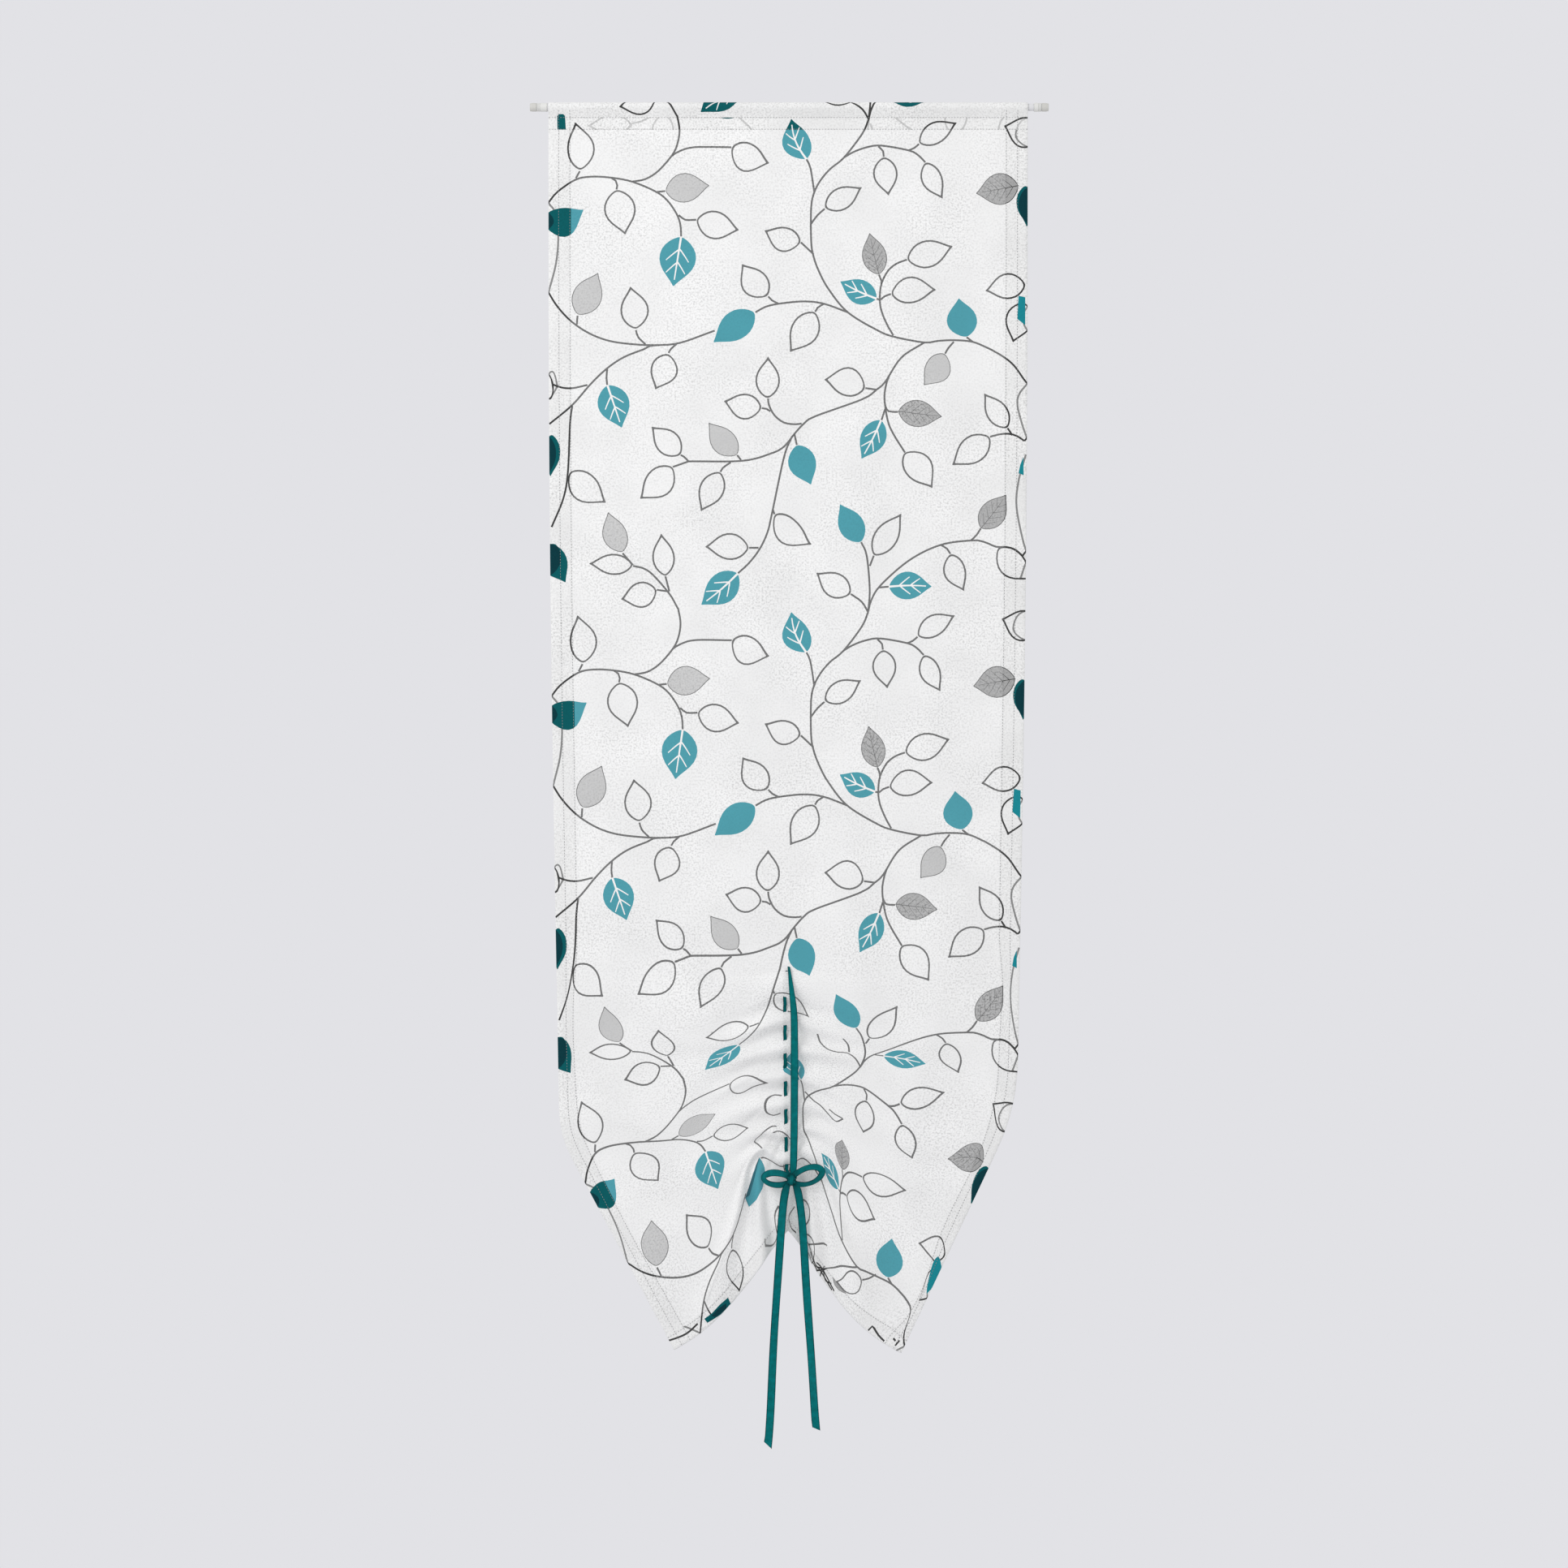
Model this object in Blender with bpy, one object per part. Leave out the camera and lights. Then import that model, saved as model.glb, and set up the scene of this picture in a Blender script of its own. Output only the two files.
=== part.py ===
"""Sheer curtain panel on a slim spring rod, drawn up at its centre by a ribbon tied in a bow.

Metres, +Z up. The front faces -Y. The origin is on the rod's axis, above the middle of the panel.
"""

import math

import bmesh
import bpy
import numpy as np
from mathutils import Vector

# Cloth, as it is cut and sewn
PANEL_WIDTH = 0.600
PANEL_DROP = 1.591  # rod axis to bottom edge, with the cloth laid flat
CLOTH_THICKNESS = 0.0003
LAYER_GAP = 0.0003  # between the layers of a hem
TURN_LENGTH = 0.001  # flat cloth in the turn of a hem
SIDE_HEM = 0.028
BOTTOM_HEM = 0.018
POCKET_DEPTH = 0.0128  # rod axis down to the pocket's stitch line
HEADING_DEPTH = 0.0282  # rod axis down to the lower stitch line of the top hem

# Gather: the middle of the cloth is drawn up along a vertical line
GATHERED_CLOTH = 0.511  # flat cloth below the top of the gather
CLOTH_UNDER_KNOT = 0.081  # flat cloth between the knot and the bottom edge
GATHER_RATIO = 0.61  # hung height of a length of gathered cloth
UNDER_KNOT_RATIO = 0.80
PLEAT_COUNT = 7.5  # from the top of the gather to the knot
PLEAT_REACH = 0.070  # how far to each side the pleats run
EDGE_DRIFT = math.radians(1.06)  # lean of the side edges above the gather
EDGE_TILT = {-1: math.radians(28.1), 1: math.radians(25.3)}  # lean of the flaps' outer edges
EDGE_BEND = {-1: (0.345, 0.262), 1: (0.414, 0.262)}  # above the bottom edge: lean starts and ends
ROW_RISE = math.radians(16.8)  # rise of the cloth's rows towards the gathered middle
ROW_RISE_LENGTH = 0.200  # flat cloth over which that rise grows
KNOT_RISE = math.radians(27.6)  # added rise, from above the knot to the bottom edge
KNOT_RISE_START = 0.035  # above the knot
MIDDLE_DRAW = 0.567  # share of a row that is bunched at the middle, at the bottom edge
MIDDLE_DRAW_START = 0.104  # below the top of the gather
EDGE_DRAW = 0.092  # the same share at the side edges
EDGE_DRAW_START = 0.170
EDGE_DRAW_LENGTH = 0.300
FLAP_FOLD_DEPTH = 0.011
FLAP_FOLD_PITCH = math.radians(26)
FLAP_FOLD_START = math.radians(31)  # angle of the first fold under the level, seen from the pivot
FLAP_FOLD_END = math.radians(62)  # the folds are shallow past this angle, next to the notch
FLAP_FOLD_FADE = math.radians(18)
FLAP_PIVOT = 0.070  # above the knot: the point that the folds fan out from
FLAP_FOLD_RISE = (0.030, 0.130)  # from the pivot: where a fold starts, and how far it deepens
FLAP_FOLD_FALL = (0.200, 0.120)  # from the pivot: where it gets shallower, and over what length
WAVE_DEPTH = 0.0022  # soft waves of the plain cloth above
WAVE_PITCH = (0.245, 0.105)
WAVE_START = 0.350  # the waves grow from the rod down to here
WAVE_HELD = (0.100, 0.080)  # no waves near the gather: distance above it, and to its sides

# Ribbon
RIBBON_WIDTH = 0.010
RIBBON_THICKNESS = 0.0004
THREADED_WIDTH = 0.005
THREAD_LINE = -0.004  # x of the line of slits
SLIT_WIDTH = 0.012
SLIT_HALF_HEIGHT = 0.0015
RIBBON_PLAY = 0.0006  # between the ribbon's front leg and the pleats
RIBBON_OFF = 0.0016  # middle of the cloth to the ribbon's middle, beside the top slits
SLIT_PLAY = 0.0002
FRONT_LEG_X = 0.0074
KNOT_SIZE = (0.014, 0.010, 0.013)
KNOT_X = 0.004
KNOT_Y = -0.0150
LOOP_LENGTH = 0.038
LOOP_HEIGHT = 0.020
LOOP_LIFT = {-1: 0.0, 1: 0.16}  # rise of each loop's far end, per length
LOOP_WIDTH = 0.009
LOOP_TURN = 0.45  # how far the ribbon's flat side turns to the front in a loop
LOOP_SPREAD = 0.0016  # where a loop's two ends enter the knot, off its middle
LOOP_FULLNESS = 0.35  # a larger value gives a rounder loop
TAIL_DROP = {-1: 0.336, 1: 0.314}  # knot's middle to the end of each tail
TAIL_SPREAD = {-1: -0.030, 1: 0.0316}
TAIL_POINT = 0.006  # slant of the cut end
TAIL_STEP = 0.0012  # one tail hangs this much in front of the knot's middle, the other behind it
TAIL_BACK = 0.0020
TAIL_BOW = 0.0010

# Rod
OUTER_TUBE_RADIUS = 0.0052
INNER_TUBE_RADIUS = 0.0045
TUBE_WALL = 0.0004
FIT_GAP = 0.0003
OUTER_TUBE_RIGHT_END = 0.120
INNER_TUBE_LEFT_END = 0.020
INNER_TUBE_SHOWN = 0.0080  # beside the cloth, at the right
CLOTH_TO_CAP = 0.0016  # at the left
CAP_RADIUS = 0.0055
CAP_LENGTH = {-1: 0.0130, 1: 0.0095}
CAP_RING = 0.0014  # width of each ring at the cap's outer end
RING_GROOVE = 0.0007
GROOVE_DEPTH = 0.0007
PLUG_LENGTH = 0.008
PLUG_FLANGE = 0.0015
FOOT_RADIUS = 0.0053
FOOT_LENGTH = 0.0085
FOOT_STUB = (0.0022, 0.0040)  # radius and length
EDGE_ROUND = 0.0005
SPRING_SEAT_LENGTH = 0.006
SPRING_LENGTH = 0.074
SPRING_RADIUS = 0.0036
SPRING_WIRE = 0.0009
SPRING_TURNS = 9
ROUND_SIDES = 32
SHARP_ANGLE = math.radians(40)

KNOT_DOWN = PANEL_DROP - CLOTH_UNDER_KNOT
GATHER_TOP = PANEL_DROP - GATHERED_CLOTH
KNOT_Z = -(GATHER_TOP + GATHER_RATIO * (KNOT_DOWN - GATHER_TOP))
HALF_WIDTH = PANEL_WIDTH / 2
LAYER = CLOTH_THICKNESS + LAYER_GAP
PLEAT = (KNOT_DOWN - GATHER_TOP) / PLEAT_COUNT
HUNG_PLEAT = PLEAT * GATHER_RATIO
PLEAT_DEPTH = PLEAT * math.sqrt(2 * (1 - GATHER_RATIO**2)) / math.tau
POCKET_RADIUS = OUTER_TUBE_RADIUS + FIT_GAP + LAYER + CLOTH_THICKNESS / 2
TOP_SLIT = 2.5 * SLIT_HALF_HEIGHT  # from the top of the gather to the slits that hold the loop


def clear_scene():
    for obj in list(bpy.data.objects):
        bpy.data.objects.remove(obj, do_unlink=True)


def smooth(t):
    t = np.clip(t, 0.0, 1.0)
    return t * t * (3 - 2 * t)


def make_material(name, colour, roughness, metallic=0.0):
    material = bpy.data.materials.new(name)
    material.use_nodes = True
    shader = material.node_tree.nodes["Principled BSDF"]
    shader.inputs["Base Color"].default_value = (*colour, 1.0)
    shader.inputs["Roughness"].default_value = roughness
    shader.inputs["Metallic"].default_value = metallic
    return material


def add_object(name, points, faces, material):
    mesh = bpy.data.meshes.new(name)
    mesh.from_pydata(points, [], faces)
    mesh.update()
    mesh.materials.append(material)
    mesh.shade_smooth()
    mesh.set_sharp_from_angle(angle=SHARP_ANGLE)
    obj = bpy.data.objects.new(name, mesh)
    bpy.context.collection.objects.link(obj)
    return obj


def edge_line(side, down):
    """Outward place, height and lean of a side edge at a flat distance below the rod."""
    steps = np.linspace(0.0, PANEL_DROP + SIDE_HEM, 400)
    bend_start, bend_end = (PANEL_DROP - height for height in EDGE_BEND[side])
    lean = EDGE_DRIFT * smooth(steps / GATHER_TOP)
    lean += (EDGE_TILT[side] - EDGE_DRIFT) * smooth((steps - bend_start) / (bend_end - bend_start))
    middle = (lean[1:] + lean[:-1]) / 2
    inward = np.concatenate([[0], np.cumsum(np.sin(middle) * np.diff(steps))])
    fall = np.concatenate([[0], np.cumsum(np.cos(middle) * np.diff(steps))])
    return (
        HALF_WIDTH - np.interp(down, steps, inward),
        -np.interp(down, steps, fall),
        np.interp(down, steps, lean),
    )


def centre_height(down):
    """Height of the gathered middle line, which shortens from the top of the gather down."""
    above_knot = np.clip(down, GATHER_TOP, KNOT_DOWN) - GATHER_TOP
    under_knot = np.clip(down - KNOT_DOWN, 0, None)
    plain = np.minimum(down, GATHER_TOP)
    return -(plain + GATHER_RATIO * above_knot + UNDER_KNOT_RATIO * under_knot)


def hung_place(across, down):
    """x and z of the cloth: each row is one curve from the side edge to the gathered middle."""
    side = np.where(across < 0, -1, 1)
    reach = np.abs(across)
    left = edge_line(-1, down)
    right = edge_line(1, down)
    edge_x, edge_z, lean = (np.where(side < 0, a, b) for a, b in zip(left, right))
    below = down - GATHER_TOP
    rise = ROW_RISE * smooth(below / ROW_RISE_LENGTH)
    knot_rise_length = CLOTH_UNDER_KNOT + KNOT_RISE_START
    rise = rise + KNOT_RISE * smooth((down - KNOT_DOWN + KNOT_RISE_START) / knot_rise_length)
    start_speed = HALF_WIDTH * (1 - EDGE_DRAW * smooth((below - EDGE_DRAW_START) / EDGE_DRAW_LENGTH))
    middle_draw = smooth((below - MIDDLE_DRAW_START) / (GATHERED_CLOTH - MIDDLE_DRAW_START))
    end_speed = HALF_WIDTH * (1 - MIDDLE_DRAW * middle_draw)
    t = 1 - reach / HALF_WIDTH
    start, start_slope = 2 * t**3 - 3 * t**2 + 1, t**3 - 2 * t**2 + t
    end, end_slope = 3 * t**2 - 2 * t**3, t**3 - t**2
    x = start * edge_x - start_slope * start_speed * np.cos(lean)
    x = x - end_slope * end_speed * np.cos(rise)
    z = start * edge_z + start_slope * start_speed * np.sin(lean)
    z = z + end * centre_height(down) + end_slope * end_speed * np.sin(rise)
    return side * x, z


def fold_depth(across, down):
    """How far behind the plane of the window the cloth lies: waves, pleats and the flaps' folds."""
    reach = np.abs(across)
    waves = 0.7 * np.sin(math.tau * across / WAVE_PITCH[0] + 0.8)
    waves = waves + 0.3 * np.sin(math.tau * across / WAVE_PITCH[1])
    held = smooth((down - GATHER_TOP) / WAVE_HELD[0] + 1) * np.exp(-((reach / WAVE_HELD[1]) ** 2))
    waves = WAVE_DEPTH * waves * smooth(down / WAVE_START) * (1 - held)
    pleats = PLEAT_DEPTH * np.sin(math.tau * (down - GATHER_TOP) / PLEAT)
    pleats = pleats * smooth((down - GATHER_TOP) / (0.3 * PLEAT))
    pleats = pleats * (1 - smooth((down - KNOT_DOWN + 0.35 * PLEAT) / (0.45 * PLEAT)))
    pleats = pleats * np.exp(-((reach / PLEAT_REACH) ** 2))
    pivot_down = KNOT_DOWN - FLAP_PIVOT
    radius = np.hypot(reach, down - pivot_down)
    angle = np.arctan2(down - pivot_down, reach)
    flap = -FLAP_FOLD_DEPTH * np.cos(math.tau * (angle - FLAP_FOLD_START) / FLAP_FOLD_PITCH)
    flap = flap * smooth((radius - FLAP_FOLD_RISE[0]) / FLAP_FOLD_RISE[1])
    flap = flap * (1 - 0.6 * smooth((radius - FLAP_FOLD_FALL[0]) / FLAP_FOLD_FALL[1]))
    flap = flap * smooth((angle - FLAP_FOLD_START + 0.4 * FLAP_FOLD_PITCH) / (0.4 * FLAP_FOLD_PITCH))
    flap = flap * (1 - 0.75 * smooth((angle - FLAP_FOLD_END) / FLAP_FOLD_FADE))
    return waves + pleats + flap


def hung_point(across, down):
    x, z = hung_place(across, down)
    return np.stack([x, fold_depth(across, down), z], axis=-1)


def hung_layer(across, down, behind):
    """A point a little behind the cloth's face, between square to it and straight back."""
    step = CLOTH_THICKNESS
    along = hung_point(across + step, down) - hung_point(across - step, down)
    fall = hung_point(across, down + step) - hung_point(across, down - step)
    normal = np.cross(along, fall)
    normal /= np.linalg.norm(normal, axis=-1, keepdims=True)
    normal += np.array([0.0, 2.0, 0.0])
    normal /= np.linalg.norm(normal, axis=-1, keepdims=True)
    return hung_point(across, down) + normal * behind[..., None]


def fold_back(flat, height, edge, layers):
    """Folds a flat sheet behind itself at an edge: place across the fold, and height of a layer."""
    middle = layers * LAYER / 2
    radius = middle - height
    turn = np.clip((flat - edge) / TURN_LENGTH, 0, 1) * math.pi
    past = np.clip(flat - edge - TURN_LENGTH, 0, None)
    before = np.minimum(flat, edge)
    return before - past + radius * np.sin(turn), middle - radius * np.cos(turn)


def pocket_line(length):
    """The top hem's way from the front stitch line, over the rod and down behind it.

    Returns the place and the direction pointing out of the pocket, for a distance along that way.
    """
    wrap = math.pi - math.acos(POCKET_RADIUS / POCKET_DEPTH)
    straight = math.sqrt(POCKET_DEPTH**2 - POCKET_RADIUS**2)
    tilt = wrap - math.pi / 2
    total = 2 * (straight + wrap * POCKET_RADIUS)
    turn = np.clip((length - straight) / POCKET_RADIUS, 0, 2 * wrap) - wrap
    rising = np.clip(straight - length, 0, None)
    falling = np.clip(length - total + straight, 0, None)
    y = POCKET_RADIUS * np.sin(turn) + (rising - falling) * np.sin(tilt)
    y = y + 3 * LAYER * smooth(falling / straight)
    z = POCKET_RADIUS * np.cos(turn) - (rising + falling) * np.cos(tilt)
    out = np.stack([0 * turn, np.sin(turn), np.cos(turn)], axis=-1)
    return y, z, out, total


def cloth_point(across, down, height):
    """A point of the sewn and hung cloth, from the flat cut and a height behind its face."""
    side = np.where(across < 0, -1, 1)
    reach, height = fold_back(np.abs(across), height, HALF_WIDTH, 1)
    across = side * reach
    _, _, _, pocket = pocket_line(np.zeros(1))
    low, low_height = fold_back(down, height, PANEL_DROP, 3)
    hung = hung_layer(across, np.maximum(low, POCKET_DEPTH), low_height)
    y, z, out, _ = pocket_line(POCKET_DEPTH - down)
    over = np.stack([across, y, z], axis=-1) - out * height[..., None]
    back_down = POCKET_DEPTH - down - pocket + POCKET_DEPTH
    back = np.stack([across, 3 * LAYER - height, -back_down], axis=-1)
    result = np.where((down < POCKET_DEPTH)[..., None], over, hung)
    return np.where((back_down > POCKET_DEPTH)[..., None], back, result)


def sheet_columns():
    """Flat places across the cloth: close near the gather, and the same on both layers of a hem."""
    slit = SLIT_WIDTH / 2
    shares = (0.05, 0.105, 0.17, 0.24, 0.31, 0.40, 0.50, 0.62, 0.75, 0.84)
    half = [share * HALF_WIDTH for share in shares]
    half += [HALF_WIDTH - SIDE_HEM, HALF_WIDTH - SIDE_HEM / 2, HALF_WIDTH]
    half += [HALF_WIDTH + TURN_LENGTH / 2, HALF_WIDTH + TURN_LENGTH]
    half += [HALF_WIDTH + TURN_LENGTH + SIDE_HEM / 2, HALF_WIDTH + TURN_LENGTH + SIDE_HEM]
    middle = [THREAD_LINE - slit, THREAD_LINE + slit]
    return np.array([-h for h in reversed(half)] + middle + half)


def slit_downs():
    """Flat places down the cloth where the ribbon goes through it, top to bottom."""
    crossings = [GATHER_TOP + PLEAT * k / 2 for k in range(1, int(2 * PLEAT_COUNT))]
    return [GATHER_TOP - TOP_SLIT, GATHER_TOP + TOP_SLIT] + crossings


def sheet_rows():
    """Flat places down the cloth: negative ones run over the rod and down behind it."""
    _, _, _, pocket = pocket_line(np.zeros(1))
    straight = math.sqrt(POCKET_DEPTH**2 - POCKET_RADIUS**2)
    back_stitch = POCKET_DEPTH - pocket
    rows = [back_stitch - (HEADING_DEPTH - POCKET_DEPTH), back_stitch]
    rows += list(np.linspace(back_stitch + straight, POCKET_DEPTH - straight, 9))
    rows += [POCKET_DEPTH, HEADING_DEPTH]
    rows += list(np.linspace(HEADING_DEPTH + PLEAT, GATHER_TOP - 0.7 * PLEAT, 9))
    for down in slit_downs():
        rows += [down - SLIT_HALF_HEIGHT, down + SLIT_HALF_HEIGHT]
    rows += [GATHER_TOP + PLEAT * (k + 0.5) / 2 for k in range(1, int(2 * PLEAT_COUNT))]
    rows += [GATHER_TOP + PLEAT / 4]
    rows += [KNOT_DOWN + 0.15 * CLOTH_UNDER_KNOT, KNOT_DOWN + 0.45 * CLOTH_UNDER_KNOT]
    rows += [PANEL_DROP - BOTTOM_HEM]
    rows += [PANEL_DROP - BOTTOM_HEM / 2, PANEL_DROP]
    rows += [PANEL_DROP + TURN_LENGTH / 2, PANEL_DROP + TURN_LENGTH]
    rows += [PANEL_DROP + TURN_LENGTH + BOTTOM_HEM / 2, PANEL_DROP + TURN_LENGTH + BOTTOM_HEM]
    return np.array(sorted(rows))


def make_panel(material):
    columns, rows = sheet_columns(), sheet_rows()
    across, down = np.meshgrid(columns, rows)
    half = CLOTH_THICKNESS / 2
    front = cloth_point(across, down, np.full(across.shape, -half))
    back = cloth_point(across, down, np.full(across.shape, half))
    points = [tuple(p) for p in front.reshape(-1, 3)] + [tuple(p) for p in back.reshape(-1, 3)]
    count = len(columns)
    slits = np.array(slit_downs())
    kept = set()
    for r in range(len(rows) - 1):
        for c in range(count - 1):
            middle_across = (columns[c] + columns[c + 1]) / 2
            middle_down = (rows[r] + rows[r + 1]) / 2
            on_line = abs(middle_across - THREAD_LINE) < SLIT_WIDTH / 4
            if not (on_line and np.abs(slits - middle_down).min() < SLIT_HALF_HEIGHT / 2):
                kept.add((r, c))
    faces = []
    under = len(rows) * count
    for r, c in sorted(kept):
        a, b = r * count + c, r * count + c + 1
        d, e = a + count, b + count
        in_side_hem = abs(columns[c] + columns[c + 1]) / 2 > HALF_WIDTH
        in_bottom_hem = (rows[r] + rows[r + 1]) / 2 > PANEL_DROP
        if in_side_hem == in_bottom_hem:  # both layers of a hem split their faces the same way
            halves = ((a, d, e), (a, e, b))
        else:
            halves = ((a, d, b), (d, e, b))
        for half_face in halves:
            faces.append(half_face)
            faces.append(tuple(under + corner for corner in reversed(half_face)))
        rims = (((r, c - 1), a, d), ((r, c + 1), e, b), ((r - 1, c), b, a), ((r + 1, c), d, e))
        for neighbour, first, second in rims:
            if neighbour not in kept:
                faces.append((second, first, under + first, under + second))
    return add_object("curtain_panel", points, faces, material)


def strip_mesh(centres, widths, thickness, sideways):
    """A flat ribbon along a line of points. sideways gives the direction of its width at each."""
    centres = [Vector(c) for c in centres]
    points, faces = [], []
    for i, centre in enumerate(centres):
        ahead = centres[min(i + 1, len(centres) - 1)] - centres[max(i - 1, 0)]
        wide = Vector(sideways[i])
        wide = (wide - ahead * (wide.dot(ahead) / ahead.length_squared)).normalized()
        thin = ahead.cross(wide).normalized() * (thickness / 2)
        wide = wide * (widths[i] / 2)
        points += [centre + wide + thin, centre - wide + thin]
        points += [centre - wide - thin, centre + wide - thin]
    for i in range(len(centres) - 1):
        for k in range(4):
            a, b = 4 * i + k, 4 * i + (k + 1) % 4
            faces.append((a, b, b + 4, a + 4))
    last = 4 * (len(centres) - 1)
    faces.append((3, 2, 1, 0))
    faces.append((last, last + 1, last + 2, last + 3))
    return points, faces


def ribbon_leg_line():
    """The two legs as one line: up the front, through the cloth at the top, and down the slits."""
    front_y = -(PLEAT_DEPTH + CLOTH_THICKNESS / 2 + RIBBON_PLAY + RIBBON_THICKNESS / 2)
    top = -GATHER_TOP
    high_slit = top + TOP_SLIT - SLIT_PLAY
    low_slit = top - GATHER_RATIO * TOP_SLIT
    x, wide, off, slit = THREAD_LINE, THREADED_WIDTH, RIBBON_OFF, SLIT_HALF_HEIGHT
    knot_wide, _, knot_high = KNOT_SIZE
    in_knot = (FRONT_LEG_X - knot_wide / 7, (front_y + KNOT_Y) / 2, KNOT_Z + knot_high / 6.5)
    line = [
        (in_knot, RIBBON_WIDTH * 0.6),
        ((FRONT_LEG_X, front_y, KNOT_Z + 0.92 * knot_high), RIBBON_WIDTH * 0.9),
        ((FRONT_LEG_X, front_y, KNOT_Z + 2.86 * HUNG_PLEAT), RIBBON_WIDTH),
        ((FRONT_LEG_X, front_y, top - 1.66 * HUNG_PLEAT), RIBBON_WIDTH * 0.9),
        ((0.45 * FRONT_LEG_X, front_y, top - 0.75 * HUNG_PLEAT), RIBBON_WIDTH * 0.7),
        ((x, -off, top + slit), wide),
        ((x, -0.44 * off, high_slit), wide),
        ((x, 0.44 * off, high_slit), wide),
        ((x, off, top + 1.2 * slit), wide),
        ((x, off, top), wide),
        ((x, 0.75 * off, low_slit + 0.6 * slit), wide),
        ((x, -0.125 * off, low_slit - 0.2 * slit), wide),
        ((x, -0.75 * off, low_slit - 1.67 * slit), wide),
    ]
    for down in slit_downs()[2:]:
        slit_x, slit_z = hung_place(np.array(THREAD_LINE), np.array(down))
        line.append(((float(slit_x), 0.0, float(slit_z)), wide))
    line.append(((line[-1][0][0], -0.625 * off, KNOT_Z + 0.35 * HUNG_PLEAT), wide))
    line.append(((KNOT_X - 0.214 * knot_wide, 0.9 * KNOT_Y, KNOT_Z + knot_high / 6.5), wide))
    return [point for point, _ in line], [width for _, width in line]


def loop_line(side, knot):
    """A bow loop: a drop-shaped round from the knot out and back to it."""
    points = []
    steps = 18
    for i in range(steps + 1):
        t = math.pi * (2 * i / steps - 1)
        out = LOOP_LENGTH * (1 + math.cos(t)) / 2
        rise = LOOP_HEIGHT / 2 * math.sin(t) * math.sin((math.pi - abs(t)) / 2 + LOOP_FULLNESS)
        rise += LOOP_SPREAD * t / math.pi + LOOP_LIFT[side] * out
        points.append(knot + Vector((side * out, 0, rise)))
    return points


def tail_line(side, knot):
    """A tail: out of the knot, then down to its slant end."""
    points = []
    steps = 12
    for i in range(steps + 1):
        t = i / steps
        share = 0.2 * (1 - math.exp(-t / 0.02)) + 0.25 * (1 - math.exp(-t / 0.2))
        x = TAIL_SPREAD[side] * (share + 0.45 * t + 0.10 * t**6)
        y = side * TAIL_STEP + TAIL_BACK * float(smooth(t / 0.1)) - TAIL_BOW * math.sin(math.pi * t)
        points.append(knot + Vector((x, y, -TAIL_DROP[side] * t)))
    return points


def add_union(target, points, faces, material):
    piece = add_object("union_piece", points, faces, material)
    piece.hide_render = True
    piece.display_type = "WIRE"
    union = target.modifiers.new("union", "BOOLEAN")
    union.operation = "UNION"
    union.object = piece


def make_ribbon(material):
    knot = Vector((KNOT_X, KNOT_Y, KNOT_Z))
    mesh = bpy.data.meshes.new("tie_ribbon")
    body = bmesh.new()
    bmesh.ops.create_icosphere(body, subdivisions=2, radius=0.5)
    bmesh.ops.scale(body, vec=KNOT_SIZE, verts=body.verts)
    body.to_mesh(mesh)
    body.free()
    mesh.materials.append(material)
    mesh.shade_smooth()
    ribbon = bpy.data.objects.new("tie_ribbon", mesh)
    ribbon.location = knot
    bpy.context.collection.objects.link(ribbon)
    wide_x = Vector((1, 0, 0))
    line, widths = ribbon_leg_line()
    legs = strip_mesh(line, widths, RIBBON_THICKNESS, [wide_x] * len(line))
    add_union(ribbon, *legs, material)
    for side in (-1, 1):
        line = loop_line(side, knot)
        ways = [Vector((0, 1, LOOP_TURN))] * len(line)
        widths = [LOOP_WIDTH] * len(line)
        add_union(ribbon, *strip_mesh(line, widths, RIBBON_THICKNESS, ways), material)
        line = tail_line(side, knot)
        widths = [RIBBON_WIDTH * (0.6 + 0.4 * float(smooth(i / 2))) for i in range(len(line))]
        points, faces = strip_mesh(line, widths, RIBBON_THICKNESS, [wide_x] * len(line))
        for corner in points[-4:]:
            corner.z += TAIL_POINT * (0.5 + (corner.x - line[-1].x) / RIBBON_WIDTH)
        add_union(ribbon, points, faces, material)
    return ribbon


def turned(name, profile, start, side, material, hollow=False):
    """A round piece about the rod's axis. The profile runs outward from start, to one side."""
    shape = bmesh.new()
    rings = []
    for along, radius in profile:
        if radius == 0:
            rings.append([shape.verts.new((side * along, 0, 0))])
            continue
        turns = [math.tau * k / ROUND_SIDES for k in range(ROUND_SIDES)]
        rings.append(
            [shape.verts.new((side * along, radius * math.sin(t), radius * math.cos(t))) for t in turns]
        )
    pairs = list(zip(rings, rings[1:]))
    if hollow:
        pairs.append((rings[-1], rings[0]))
    for first, second in pairs:
        for k in range(ROUND_SIDES):
            n = (k + 1) % ROUND_SIDES
            if len(first) == 1:
                shape.faces.new((first[0], second[k], second[n]))
            elif len(second) == 1:
                shape.faces.new((first[k], first[n], second[0]))
            else:
                shape.faces.new((first[k], first[n], second[n], second[k]))
    bmesh.ops.recalc_face_normals(shape, faces=shape.faces)
    mesh = bpy.data.meshes.new(name)
    shape.to_mesh(mesh)
    shape.free()
    mesh.materials.append(material)
    mesh.shade_smooth()
    mesh.set_sharp_from_angle(angle=SHARP_ANGLE)
    obj = bpy.data.objects.new(name, mesh)
    obj.location = (start, 0, 0)
    bpy.context.collection.objects.link(obj)
    return obj


def tube(name, start, end, radius, material):
    inner = radius - TUBE_WALL
    profile = [(0, inner), (0, radius), (end - start, radius), (end - start, inner)]
    return turned(name, profile, start, 1, material, hollow=True)


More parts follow.
